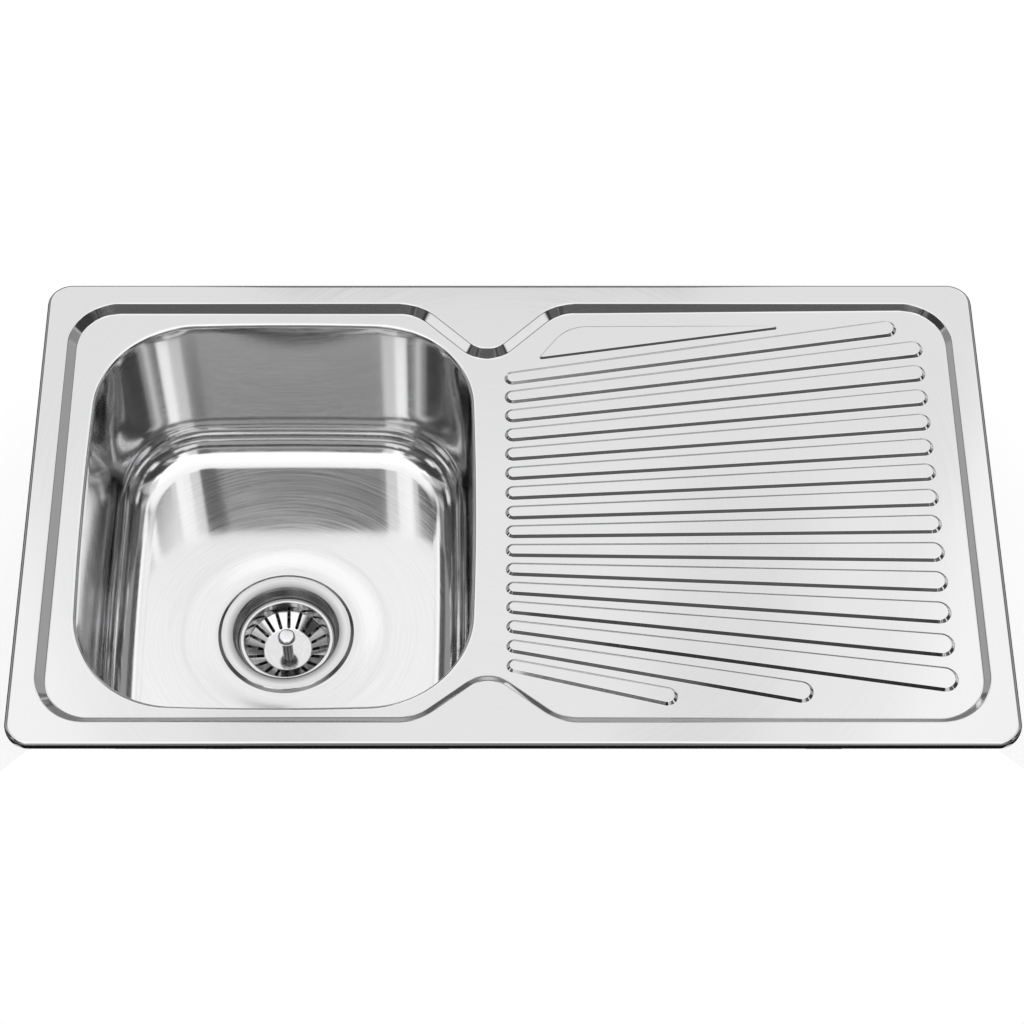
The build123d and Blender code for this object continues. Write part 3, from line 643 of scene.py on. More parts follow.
class NodeTree:
    """Geometry node tree with named inputs, ending in Realize Instances and Set Material."""

    def __init__(self, name: str) -> None:
        """Starts a tree that takes and gives one mesh.

        Args:
            name: Name of the tree.
        """
        self.tree = bpy.data.node_groups.new(name, "GeometryNodeTree")
        self.sockets: dict[str, str] = {}
        self.values: dict[str, object] = {}
        self._socket("Geometry", "NodeSocketGeometry")
        self.tree.interface.new_socket("Geometry", in_out="OUTPUT", socket_type="NodeSocketGeometry")
        self.input = self.tree.nodes.new("NodeGroupInput")
        self.output = self.tree.nodes.new("NodeGroupOutput")

    def _socket(self, name: str, kind: str) -> None:
        """Adds one input to the tree."""
        self.sockets[name] = self.tree.interface.new_socket(name, in_out="INPUT", socket_type=kind).identifier

    def take(self, name: str, kind: str, value: object) -> bpy.types.NodeSocket:
        """Adds a named input with its value.

        Args:
            name: Name of the input.
            kind: Short kind of socket, such as Int or Float.
            value: What the modifier sets it to.

        Returns:
            The input's socket inside the tree.
        """
        self._socket(name, f"NodeSocket{kind}")
        self.values[name] = value
        return self.input.outputs[name]

    def add(
        self, kind: str, links: dict[str | int, object] | None = None, **settings: object
    ) -> bpy.types.Node:
        """Adds a node, and links or sets its inputs.

        Args:
            kind: Type name of the node.
            links: Socket or value of each input, by name or number.
            settings: Attributes of the node.

        Returns:
            The new node.
        """
        node = self.tree.nodes.new(kind)
        for key, value in settings.items():
            setattr(node, key, value)
        for key, value in (links or {}).items():
            if isinstance(value, bpy.types.NodeSocket):
                self.tree.links.new(value, node.inputs[key])
            else:
                node.inputs[key].default_value = value
        return node

    def finish(
        self, geometry: bpy.types.NodeSocket, obj: bpy.types.Object, material: bpy.types.Material
    ) -> None:
        """Ends the tree, runs it on an object and turns the result into plain mesh.

        Args:
            geometry: What the tree has made.
            obj: Object to change.
            material: Finish of the result.
        """
        finish = self.take("Material", "Material", material)
        real = self.add("GeometryNodeRealizeInstances", {"Geometry": geometry})
        merged = self.add("GeometryNodeMergeByDistance", {"Geometry": real.outputs[0], "Distance": MERGE})
        named = self.add("GeometryNodeSetMaterial", {"Geometry": merged.outputs[0], "Material": finish})
        self.tree.links.new(named.outputs[0], self.output.inputs[0])
        modifier = obj.modifiers.new(self.tree.name, "NODES")
        modifier.node_group = self.tree
        for name, value in self.values.items():
            modifier[self.sockets[name]] = value
        bake_modifiers(obj)


def ring_of(
    obj: bpy.types.Object, count: int, axis: tuple[float, float], material: bpy.types.Material
) -> None:
    """Repeats a piece made round the origin, and moves the ring to its axis.

    Args:
        obj: Piece to repeat.
        count: Number of copies in a full turn.
        axis: Plan place of the axis, in metres.
        material: Finish of the ring.
    """
    tree = NodeTree("ring_of_sectors")
    number = tree.take("Count", "Int", count)
    place = tree.take("Axis", "Vector", (*axis, 0.0))
    points = tree.add("GeometryNodePoints", {"Count": number, "Position": place})
    index = tree.add("GeometryNodeInputIndex")
    step = tree.add("ShaderNodeMath", {0: 2 * math.pi, 1: number}, operation="DIVIDE")
    angle = tree.add("ShaderNodeMath", {0: index.outputs[0], 1: step.outputs[0]}, operation="MULTIPLY")
    turn = tree.add("ShaderNodeCombineXYZ", {"Z": angle.outputs[0]})
    ring = tree.add(
        "GeometryNodeInstanceOnPoints",
        {
            "Points": points.outputs[0],
            "Instance": tree.input.outputs["Geometry"],
            "Rotation": turn.outputs[0],
        },
    )
    tree.finish(ring.outputs[0], obj, material)


def dress(
    obj: bpy.types.Object, material: bpy.types.Material, body: Body, nodes: Sequence[str]
) -> None:
    """Finishes a piece: gives it its material, hangs it on its body and hides the nodes that it replaces.

    Args:
        obj: Piece.
        material: Its finish.
        body: Body that it rides on.
        nodes: Nodes of the model that it replaces.
    """
    obj.data.materials.clear()
    obj.data.materials.append(material)
    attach(obj, body.value)
    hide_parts(*nodes)
    LOG.info("%s: %d faces on %s", obj.name, len(obj.data.polygons), body.value)


# ---- Pressed top ---------------------------------------------------------------------------------
@dataclass
class RibFan:
    """The sixteen ribs that fan out over the drainboard, and the panel behind them.

    Two gauge lines cross the ribs, one near each end. Behind the level rib the pitch from rib to rib
    is even along each line, and wider along the right one. In front of it the left pitch is even,
    and the right one grows from rib to rib. The panel's corners are measured from the centre line.
    """

    count: int = 16
    height: float = 2.1
    wall: float = 2.4
    share: float = 0.70  # a rib's width as a share of its pitch
    round: float = 0.6
    level: int = 7  # number of the rib that lies most level
    tips: tuple[float, float] = (-4.5, 345.5)
    gauges: tuple[float, float] = (0.0, 325.0)
    level_y: tuple[float, float] = (-11.5, -0.5)
    pitch_back: tuple[float, float] = (18.9, 24.4)
    pitch_front: tuple[float, float] = (17.6, 25.4)
    growth: float = 1.05
    first_end: float = 325.0
    short_ends: tuple[float, float] = (232.5, 127.5)
    panel: tuple[tuple[float, float], ...] = ((22.4, 145.4), (249.0, 180.0), (48.0, 180.0))
    panel_rounds: tuple[float, float, float] = (2.0, 2.0, 34.0)
    panel_wall: float = 1.4
    panel_round: float = 0.4
    panel_guard: float = 0.12
    longest_side: float = 18.0

    def outline(self, index: int, centre_y: float) -> Outline:
        """Plan outline of one rib's foot.

        Args:
            index: Number of the rib, from the back.
            centre_y: The sink's centre line.

        Returns:
            The outline: two unequal ends and their common tangents.
        """
        steps = self.level - index
        left_pitch, right_pitch = self.pitch_back
        right_y = self.level_y[1] + steps * right_pitch
        if steps < 0:
            ahead = -steps
            left_pitch = self.pitch_front[0]
            right_pitch = self.pitch_front[1] + self.growth * (ahead - 1)
            right_y = self.level_y[1] - ahead * self.pitch_front[1] - self.growth * ahead * (ahead - 1) / 2
        left_y = self.level_y[0] + steps * left_pitch
        end = self.tips[1]
        if index == 0:
            end = self.first_end
        if index >= self.count - len(self.short_ends):
            end = self.short_ends[index - self.count + len(self.short_ends)]
        low, high = self.gauges

        def along(x: float, first: float, last: float) -> float:
            """Value at x of a line through both gauges."""
            return first + (x - low) / (high - low) * (last - first)

        radii = [self.share / 2 * along(x, left_pitch, right_pitch) for x in (low, end)]
        tilt = math.atan2(right_y - left_y, high - low)
        places = (self.tips[0] + radii[0], end - radii[1])
        ends = [
            np.array([x, centre_y + along(x, left_y, right_y) - self.wall / 2 + r / math.cos(tilt)])
            for x, r in zip(places, radii)
        ]
        span = ends[1] - ends[0]
        axis = math.degrees(math.atan2(span[1], span[0]))
        open_by = 90 + math.degrees(math.asin((radii[1] - radii[0]) / float(np.linalg.norm(span))))
        return (
            OutlineMaker(self.longest_side)
            .arc(ends[1], radii[1], axis - open_by, axis + open_by, steps=22)
            .arc(ends[0], radii[0], axis + open_by, axis + 360 - open_by, steps=20)
            .close()
        )

    def panel_outline(self, centre_y: float) -> Outline:
        """Plan outline of the raised panel's foot.

        Args:
            centre_y: The sink's centre line.

        Returns:
            The rounded three-cornered outline.
        """
        corners = [np.array([x, centre_y + y]) for x, y in self.panel]
        maker = OutlineMaker(self.longest_side)
        for index, (corner, radius) in enumerate(zip(corners, self.panel_rounds)):
            back = corners[index - 1] - corner
            ahead = corners[(index + 1) % 3] - corner
            back, ahead = back / np.linalg.norm(back), ahead / np.linalg.norm(ahead)
            half = math.acos(float(back @ ahead)) / 2
            middle = (back + ahead) / np.linalg.norm(back + ahead)
            centre = corner + middle * radius / math.sin(half)
            facing = math.degrees(math.atan2(-middle[1], -middle[0]))
            swing = 90 - math.degrees(half)
            maker.arc(centre, radius, facing - swing, facing + swing, steps=14)
        return maker.close()


@dataclass
class PressedTop:
    """Rim, turned-down edge, recess with its two notches, deck and drainboard.

    Pairs of values stand for the notch at the back and the notch at the front.
    """

    width: float = 780.0
    depth: float = 440.0
    sheet: float = 0.8
    rim_top: float = 6.0
    corner: float = 20.0
    edge_round: float = 3.0
    margin: float = 20.0  # from the outer edge to the recess
    recess_corner: float = 42.0
    drop: float = 6.5  # from the rim to the deck
    end_drop: float = 4.5  # from the rim to the right end of the drainboard
    run: float = 7.0  # plan width of the recess wall beside the deck
    step_round: float = 2.0
    notch_x: float = -19.0
    notch_tip: float = 22.0
    shoulder: float = 45.0
    reaches: tuple[float, float] = (46.5, 36.5)
    angles: tuple[float, float] = (44.0, 38.0)
    centre_y: float = 212.5
    fan: RibFan = field(default_factory=RibFan)

    def floor(self, x: np.ndarray) -> np.ndarray:
        """Height of the deck, and of the rising drainboard, at x."""
        slope = (self.drop - self.end_drop) / (self.width / 2 - self.margin - self.run - self.notch_x)
        return self.rim_top - self.drop + np.maximum(0.0, x - self.notch_x) * slope

    def outer_outline(self) -> Outline:
        """Draws the outer edge.

        Returns:
            Its outline.
        """
        x, y = self.width / 2 - self.corner, self.depth / 2 - self.corner
        maker = OutlineMaker(run=22.0)
        for hand, side, start in ((1, -1, 270), (1, 1, 0), (-1, 1, 90), (-1, -1, 180)):
            maker.arc((hand * x, self.centre_y + side * y), self.corner, start, start + 90, steps=18)
        return maker.close()

    def _notch(self, maker: OutlineMaker, side: int) -> None:
        """Adds one notch, walked counter-clockwise.

        Args:
            maker: Outline in the making.
            side: 1 at the back and -1 at the front.
        """
        reach = self.reaches[0] if side > 0 else self.reaches[1]
        angle = self.angles[0] if side > 0 else self.angles[1]
        turn = math.radians(angle)
        both = self.shoulder + self.notch_tip
        flank = (reach - both * (1 - math.cos(turn))) / math.sin(turn)
        half = both * math.sin(turn) + flank * math.cos(turn)
        base = self.depth / 2 - self.margin
        shoulder_y = self.centre_y + side * (base - self.shoulder)
        tip_y = self.centre_y + side * (base - reach + self.notch_tip)
        up = 90 * side
        first, last = self.notch_x + side * half, self.notch_x - side * half
        maker.arc((first, shoulder_y), self.shoulder, up, up + angle, steps=14)
        maker.arc((self.notch_x, tip_y), self.notch_tip, angle - up, -up - angle, steps=20, inside=True)
        maker.arc((last, shoulder_y), self.shoulder, up - angle, up, steps=14)

    def recess_outline(self) -> Outline:
        """Draws the recess where its wall would meet the rim.

        Returns:
            Its outline.
        """
        inset = self.margin + self.recess_corner
        x, y = self.width / 2 - inset, self.depth / 2 - inset
        maker = OutlineMaker(run=16.0)
        for hand, start in ((1, 270), (-1, 90)):
            self._notch(maker, -hand)
            for side, turn in ((-hand, start), (hand, start + 90)):
                place = (hand * x, self.centre_y + side * y)
                maker.arc(place, self.recess_corner, turn % 360, turn % 360 + 90, steps=28)
        return maker.close()

    def _edge(self, mesh: SheetMesh) -> np.ndarray:
        """Adds the turned-down edge.

        Args:
            mesh: Mesh in the making.

        Returns:
            The ring on the rim's flat.
        """
        outline = self.outer_outline()
        rings = [mesh.ring(outline.grown(0.0), 0.0)]
        for turn in np.linspace(0, math.pi / 2, 9):
            inset = self.edge_round * (1 - math.cos(turn))
            height = self.rim_top - self.edge_round * (1 - math.sin(turn))
            rings.append(mesh.ring(outline.grown(-inset), height))
        rings.append(mesh.ring(outline.grown(-self.edge_round - GUARD), self.rim_top))
        mesh.band(rings)
        return rings[-1]

    def _recess(self, mesh: SheetMesh) -> tuple[np.ndarray, np.ndarray]:
        """Adds the recess wall.

        Args:
            mesh: Mesh in the making.

        Returns:
            The rings on the deck and on the rim.
        """
        outline = self.recess_outline()
        ratio = self.run / self.drop
        drop = np.full(len(outline.points), self.drop)
        for _ in range(3):  # the foot's place and its drop depend on each other
            foot = outline.grown(-drop * ratio)
            drop = self.rim_top - self.floor(foot[:, 0])
        rings = []
        for distance, height in soft_step(drop * ratio, drop, self.step_round, steps=7, guard=GUARD):
            plan = outline.grown(distance - drop * ratio)
            rings.append(mesh.ring(plan, self.rim_top - drop + height))
        mesh.band(rings)
        return rings[0], rings[-1]

    def _pad(
        self, mesh: SheetMesh, outline: Outline, wall: float, rounding: float, guard: float
    ) -> np.ndarray:
        """Adds one rib or the panel.

        Args:
            mesh: Mesh in the making.
            outline: Its foot.
            wall: Plan width of its sloped side.
            rounding: Radius at the foot and along the top of that side.
            guard: Width of the flat strips beside them.

        Returns:
            The ring round its foot.
        """
        rings = []
        width, rise = np.array([wall]), np.array([self.fan.height])
        for distance, height in soft_step(width, rise, rounding, steps=5, guard=guard):
            plan = outline.grown(-float(distance[0]))
            rings.append(mesh.ring(plan, self.floor(plan[:, 0]) + float(height[0])))
        mesh.band(rings)
        mesh.cap(rings[-1])
        return rings[0]

    def build(self, hole: Ring, material: bpy.types.Material) -> bpy.types.Object:
        """Builds the top.

        Args:
            hole: Plan ring that the bowl is welded to.
            material: Finish of the sheet.

        Returns:
            The finished piece.
        """
        mesh = SheetMesh()
        rim_outer = self._edge(mesh)
        deck, rim_inner = self._recess(mesh)
        seam = mesh.ring(hole, self.rim_top - self.drop)
        fan = self.fan
        outlines = [fan.outline(index, self.centre_y) for index in range(fan.count)]
        feet = [self._pad(mesh, outline, fan.wall, fan.round, GUARD) for outline in outlines]
        panel = fan.panel_outline(self.centre_y)
        feet.append(self._pad(mesh, panel, fan.panel_wall, fan.panel_round, fan.panel_guard))
        table = np.concatenate(mesh.points)
        nearest = np.argsort(np.abs(table[deck][:, 0] - self.notch_x))
        near = deck[nearest[:6]]  # the board starts to rise on a line between both notches' tips
        back = near[np.argmax(table[near][:, 1])]
        front = near[np.argmin(table[near][:, 1])]
        mesh.fill(rim_outer, [rim_inner])
        mesh.fill(deck, [seam, *feet], [(int(back), int(front))])
        piece = mesh.build("pressed_top", facing_up)
        thicken(piece, self.sheet)
        dress(piece, material, Body.SINK, ["sink_top"])
        return piece


# ---- Bowl ----------------------------------------------------------------------------------------
@dataclass
class Bowl:
    """Deep-drawn bowl with bowed sides, a rounded lip, a swept floor and the hole for the waste."""

    x: float = -187.75
    y: float = 211.25
    width: float = 314.5
    length: float = 364.5
    corner: float = 82.0
    crown: float = 5.0  # how far the middle of each side bows out
    deck: float = -0.5
    floor_z: float = -166.0
    taper: float = 5.0
    lip_round: float = 3.0
    floor_round: float = 30.0
    land: float = 3.45  # plan width of the flange round the opening
    sheet: float = 0.8
    waste: tuple[float, float] = (-190.5, 191.5)
    dish: tuple[float, float] = (58.0, 90.0)  # where the fall to the waste ends and starts
    dish_ease: tuple[float, float] = (1.0, 2.0)  # how far the dish's rings go past its two ends
    dish_fall: float = 2.0
    hole: float = 45.5

    def outline(self) -> Outline:
        """Draws the opening: four bowed sides and four true corners.

        Returns:
            Its outline.
        """
        half_x, half_y = self.width / 2, self.length / 2
        flat_x, flat_y = half_x - self.crown, half_y - self.crown
        radius_side = (flat_y**2 + self.crown**2) / (2 * self.crown)
        radius_end = (flat_x**2 + self.crown**2) / (2 * self.crown)
        side = np.array([half_x - radius_side, 0.0])
        end = np.array([0.0, half_y - radius_end])
        first, second = radius_side - self.corner, radius_end - self.corner
        span = end - side
        length = float(np.linalg.norm(span))
        along = (first**2 - second**2 + length**2) / (2 * length)
        away = math.sqrt(first**2 - along**2)
        unit = span / length
        square = np.array([unit[1], -unit[0]])
        centre = side + unit * along + square * away
        if centre[0] < 0:
            centre = side + unit * along - square * away
        tilt_side = math.degrees(math.atan2(*(centre - side)[::-1]))
        tilt_end = math.degrees(math.atan2(*(centre - end)[::-1]))
        maker = OutlineMaker(run=30.0)
        here = np.array([self.x, self.y])
        for hand, up, base, sense in ((1, 1, 0, 1), (-1, 1, 180, -1), (-1, -1, 180, 1), (1, -1, 0, -1)):
            scale = np.array([hand, up])
            near, far = sorted(base + sense * tilt for tilt in (tilt_side, tilt_end))
            maker.arc(here + centre * scale, self.corner, near, far, steps=30)
            if hand * up > 0:
                first, last = base + tilt_end, base + 180 - tilt_end
                maker.arc(here + end * scale, radius_end, first, last, steps=22)
            else:
                first, last = base - tilt_side, base + tilt_side
                maker.arc(here + side * scale, radius_side, first, last, steps=26)
        return maker.close()

    def seam(self) -> Ring:
        """Returns the ring where the bowl's flange meets the top."""
        return self.outline().grown(self.land)

    def _dish_height(self, distance: float) -> float:
        """Height of the floor at a distance from the waste's axis."""
        share = min(1.0, max(0.0, (self.dish[1] - distance) / (self.dish[1] - self.dish[0])))
        return self.floor_z - self.dish_fall * share * share * (3 - 2 * share)

    def build(self, material: bpy.types.Material) -> bpy.types.Object:
        """Builds the bowl.

        Args:
            material: Finish of the bowl.

        Returns:
            The finished piece.
        """
        mesh, outline = SheetMesh(), self.outline()
        depth = self.deck - self.floor_z
        lean = math.atan2(self.taper, depth)
        turn = math.pi / 2 - lean
        lip = self.lip_round * math.tan(turn / 2)
        rings = [mesh.ring(outline.grown(out), self.deck) for out in (self.land, lip + GUARD)]
        for angle in np.linspace(0, turn, 9):
            out = lip - self.lip_round * math.sin(angle)
            rings.append(mesh.ring(outline.grown(out), self.deck - self.lip_round * (1 - math.cos(angle))))
        sweep = self.floor_round * math.tan(turn / 2)
        top_z, foot_z = self.deck - lip * math.cos(lean), self.floor_z + sweep * math.cos(lean)
        for share in np.linspace(0, 1, 16)[1:-1]:
            z = top_z + share * (foot_z - top_z)
            rings.append(mesh.ring(outline.grown(-self.taper * (self.deck - z) / depth), z))
        centre_z = self.floor_z + self.floor_round
        centre_in = -self.taper - sweep
        for angle in np.linspace(lean, math.pi / 2, 19):
            out = centre_in + self.floor_round * math.cos(angle)
            rings.append(mesh.ring(outline.grown(out), centre_z - self.floor_round * math.sin(angle)))
        edge = outline.grown(centre_in - GUARD)
        rings.append(mesh.ring(edge, self.floor_z))
        middle = np.array(self.waste)
        reach = np.linalg.norm(edge - middle, axis=1, keepdims=True)
        rays = (edge - middle) / reach
        dish_end, level_end = self.dish[0] - self.dish_ease[0], self.dish[1] + self.dish_ease[1]
        for share in np.linspace(0, 1, 11)[1:]:
            rings.append(mesh.ring(middle + rays * (reach + share * (level_end - reach)), self.floor_z))
        for distance in np.linspace(level_end, dish_end, 16)[1:]:
            rings.append(mesh.ring(middle + rays * distance, self._dish_height(distance)))
        rings.append(mesh.ring(middle + rays * self.hole, self.floor_z - self.dish_fall))
        mesh.band(rings)
        piece = mesh.build("sink_bowl_drawn", facing_up)
        thicken(piece, self.sheet)
        dress(piece, material, Body.SINK, ["sink_bowl"])
        return piece


# ---- Waste and basket ----------------------------------------------------------------------------
def rounded(corners: Sequence[tuple[float, float, float]], steps: int) -> list[tuple[float, float]]:
    """Rounds the corners of a profile.

    Args:
        corners: Radius from the axis, height, and rounding of each corner.
        steps: Steps of each rounding.

    Returns:
        Radius and height of the finished profile's points.
    """
    profile: list[tuple[float, float]] = []
    places = [np.array(corner[:2], float) for corner in corners]
    for index, (place, corner) in enumerate(zip(places, corners)):
        if corner[2] <= 0 or index in (0, len(corners) - 1):
            profile.append((float(place[0]), float(place[1])))
            continue
        back, ahead = places[index - 1] - place, places[index + 1] - place
        longest = 0.49 * min(np.linalg.norm(back), np.linalg.norm(ahead))  # keeps two roundings apart
        back, ahead = back / np.linalg.norm(back), ahead / np.linalg.norm(ahead)
        half = math.acos(float(np.clip(back @ ahead, -1, 1))) / 2
        reach = min(corner[2] / math.tan(half), longest)
        radius = reach * math.tan(half)
        middle = (back + ahead) / np.linalg.norm(back + ahead)
        centre = place + middle * radius / math.sin(half)
        start, stop = place + back * reach - centre, place + ahead * reach - centre
        swing = math.atan2(start[0] * stop[1] - start[1] * stop[0], float(start @ stop))
        for share in np.linspace(0, 1, steps + 1):
            turn = swing * share
            spun = (
                start[0] * math.cos(turn) - start[1] * math.sin(turn),
                start[0] * math.sin(turn) + start[1] * math.cos(turn),
            )
            profile.append((float(centre[0] + spun[0]), float(centre[1] + spun[1])))
    return profile


def turned(
    name: str,
    axis: tuple[float, float],
    profile: Sequence[tuple[float, float]],
    segments: int,
    closed: bool,
) -> bpy.types.Object:
    """Turns a profile about a vertical axis.

    Args:
        name: Name of the piece.
        axis: Plan place of the axis.
        profile: Radius and height of each point.
        segments: Steps of a full turn.
        closed: True where the last point joins the first.

    Returns:
        The new object.
    """
    mesh = SheetMesh()
    turns = np.linspace(0, 2 * math.pi, segments, endpoint=False)
    circle = np.stack([np.cos(turns), np.sin(turns)], axis=1)
    rings = [mesh.ring(np.array(axis) + circle * max(radius, POLE), height) for radius, height in profile]
    mesh.band(rings + [rings[0]] if closed else rings)
    for ring, (radius, _) in zip(rings, profile):
        if radius <= 0 and not closed:
            mesh.cap(ring)

    def outwards(middles: np.ndarray, normals: np.ndarray) -> float:
        """Returns a number above 0 where the closed shape faces outwards."""
        return float(np.sum((middles - middles.mean(axis=0)) * normals))

    return mesh.build(name, outwards)


@dataclass
class Waste:
    """Bright parts of the basket waste: the cup with its flange, the slotted basket and its knob.

    Heights in the profiles are measured down from the top of the flange.
    """

    axis: tuple[float, float] = (-190.5, 191.5)
    flange_top: float = -165.9
    segments: int = 160
    knob_segments: int = 72
    slots: int = 20
    slot_width: float = 3.0
    slot_reach: tuple[float, float] = (20.9, 34.8)
    basket_hole: float = 3.2  # radius of the hole that the knob's pin goes through
    wall_foot: float = 36.0  # radius beyond which the basket's slope has turned up into its wall
    basket_sheet: float = 0.8

    def _profile(
        self, corners: Sequence[tuple[float, float, float]], steps: int = 6
    ) -> list[tuple[float, float]]:
        """Rounds a profile. Returns its points as radius and true height."""
        return [(radius, self.flange_top + height) for radius, height in rounded(corners, steps)]

    def cup(self, material: bpy.types.Material) -> bpy.types.Object:
        """Builds the cup and its flange.

        Args:
            material: Finish.

        Returns:
            The finished piece.
        """
        face = [
            (9.0, -38.0, 0), (38.2, -38.0, 2.0), (38.2, -13.5, 0.5), (41.0, -13.5, 0.8),
            (43.4, -1.9, 1.8), (45.4, -0.5, 0.9), (55.1, 0.0, 0.5), (58.0, -1.75, 0.1),
        ]
        back = [
            (58.0, -2.05, 0), (57.0, -2.05, 0), (55.0, -1.3, 0.4), (44.8, -1.7, 0.6),
            (42.0, -14.5, 0.5), (39.2, -14.5, 0.5), (39.2, -39.0, 2.6), (9.0, -39.0, 0),
        ]
        profile = self._profile([*face, *back])
        piece = turned("waste_cup_bright", self.axis, profile, self.segments, True)
        piece.data.set_sharp_from_angle(angle=TURNED_EDGE)
        dress(piece, material, Body.SINK, ["waste_cup"])
        return piece

    def _sector(self) -> bpy.types.Object:
        """Makes one sector of the basket, with its slot, round the origin.

        Returns:
            The sector.
        """
        profile = self._profile(
            [
                (self.basket_hole, -30.0, 0), (20.3, -30.0, 1.2), (34.9, -23.4, 2.2),
                (36.4, -12.0, 1.1), (39.8, -12.0, 0.8), (39.8, -13.3, 0),
            ]
        )
        radii, heights = np.array(profile).T
        inner = int(np.argmax(radii > self.wall_foot))
        first, last = self.slot_reach
        half = self.slot_width / 2
        end_round = half * (1 - np.cos(np.linspace(0, np.pi / 2, 6)))
        disc, slot = np.linspace(self.basket_hole, first, 5), np.linspace(first + half, last - half, 9)
        stations = np.concatenate([radii[:inner], first + end_round, last - end_round, disc, slot])
        table = [
            (radius, float(np.interp(radius, radii[:inner], heights[:inner])))
            for radius in np.unique(stations.round(4))
        ]
        table += profile[inner:]
        mesh = SheetMesh()
        span = math.pi / self.slots
        left, right = [], []
        for radius, height in table:
            open_by = 0.0
            if first < radius < last:
                near = min(radius - first, last - radius, half)
                open_by = math.sqrt(half**2 - (half - near) ** 2) / radius
            turns = np.linspace(open_by, span, 5)
            for rows, hand in ((left, -1), (right, 1)):
                plan = np.stack([radius * np.cos(hand * turns), radius * np.sin(hand * turns)], axis=1)
                rows.append(mesh.ring(plan, height))
        for rows in (left, right):
            for near, far in zip(rows, rows[1:]):
                quads = np.column_stack([near[:-1], near[1:], far[1:], far[:-1]])
                mesh.faces.extend(map(tuple, quads.tolist()))
        return mesh.build("basket_bright", facing_up)

    def basket(self, material: bpy.types.Material) -> bpy.types.Object:
        """Builds the basket from equal slotted sectors.

        Args:
            material: Finish.

        Returns:
            The finished piece.
        """
        piece = self._sector()
        ring_of(piece, self.slots, (self.axis[0] * MM, self.axis[1] * MM), material)
        tidy_mesh(piece.data, facing_up)
        thicken(piece, self.basket_sheet)
        dress(piece, material, Body.BASKET, ["basket"])
        return piece

    def knob(self, material: bpy.types.Material) -> bpy.types.Object:
        """Builds the turned knob with its stem and pin.

        Args:
            material: Finish.

        Returns:
            The finished piece.
        """
        head = [
            (0.0, -5.6, 0), (6.7, -5.9, 2.0), (8.0, -9.2, 1.9), (6.6, -13.2, 1.6), (3.6, -14.6, 0.8),
        ]
        stem = [(4.6, -17.6, 0.8), (4.6, -29.95, 0)]
        pin = [(3.0, -29.95, 0), (3.0, -34.3, 0.3), (0.0, -34.4, 0)]
        profile = self._profile([*head, *stem, *pin], steps=9)
        piece = turned("basket_knob_bright", self.axis, profile, self.knob_segments, False)
        piece.data.set_sharp_from_angle(angle=TURNED_EDGE)
        dress(piece, material, Body.BASKET, ["basket_knob"])
        return piece


# ---- Stage ---------------------------------------------------------------------------------------
@dataclass(frozen=True)
class Cloth:
    """One cloth of the tent, on both hands of the sink.

    Bearings run from 0 in front of the sink to 180 behind it, heights from -90 to 90, in degrees.
    """

    name: str
    bearing: tuple[float, float]
    height: tuple[float, float]
    edge: float
    level: float


@dataclass(frozen=True)
class TentCloth:
    """Light of the tent: plain grey with lighter and darker cloths over it."""

    cloths: tuple[Cloth, ...]
    plain: float = 0.5
    bounds: tuple[float, ...] = (0.0, 180.0, 91.0)  # a cloth that ends here has no edge to soften

    def build(self) -> bpy.types.Material:
        """Builds the light.

        Returns:
            The material.
        """
        sheet = NodeSheet("tent_cloths")
        place = sheet.add("ShaderNodeTexCoord")
        unit = sheet.add("ShaderNodeVectorMath", operation="NORMALIZE")
        sheet.link(place.outputs["Object"], unit.inputs[0])
        parts = sheet.add("ShaderNodeSeparateXYZ")
        sheet.link(unit.outputs[0], parts.inputs[0])
        x, y, z = parts.outputs
        forward = sheet.calculate("MULTIPLY", y, -1.0)
        across = sheet.calculate("ABSOLUTE", x)
        degree = 180 / math.pi
        bearing = sheet.calculate("MULTIPLY", sheet.calculate("ARCTAN2", across, forward), degree)
        height = sheet.calculate("MULTIPLY", sheet.calculate("ARCSINE", z), degree)
        level: bpy.types.NodeSocket | float = self.plain
        for cloth in self.cloths:
            share = self._share(sheet, cloth, bearing, height)
            mixer = sheet.add("ShaderNodeMix", data_type="FLOAT")
            mixer.label = cloth.name
            sheet.link(share, mixer.inputs[0])
            if isinstance(level, float):
                mixer.inputs[2].default_value = level
            else:
                sheet.link(level, mixer.inputs[2])
            mixer.inputs[3].default_value = cloth.level
            level = mixer.outputs[0]
        glow = sheet.add("ShaderNodeEmission")
        sheet.link(level, glow.inputs["Strength"])
        sheet.link(glow.outputs[0], sheet.output.inputs["Surface"])
        sheet.material.cycles.emission_sampling = "NONE"
        return sheet.material

    def _share(
        self, sheet: NodeSheet, cloth: Cloth, bearing: bpy.types.NodeSocket, height: bpy.types.NodeSocket
    ) -> bpy.types.NodeSocket:
        """Adds the share of one cloth at a place of the tent.

        Args:
            sheet: Material in the making.
            cloth: The cloth.
            bearing: Bearing of the place.
            height: Height of the place.

        Returns:
            Socket that is 1 on the cloth and 0 off it.
        """
        shares = []
        for value, (low, high) in ((bearing, cloth.bearing), (height, cloth.height)):
            for edge, ends in ((low, (0.0, 1.0)), (high, (1.0, 0.0))):
                if edge in self.bounds:
                    continue
                reach = (edge - cloth.edge / 2, edge + cloth.edge / 2)
                shares.append(sheet.stretch(value, reach, ends, interpolation_type="SMOOTHSTEP"))
        total = shares[0]
        for share in shares[1:]:
            total = sheet.calculate("MULTIPLY", total, share)
        return total


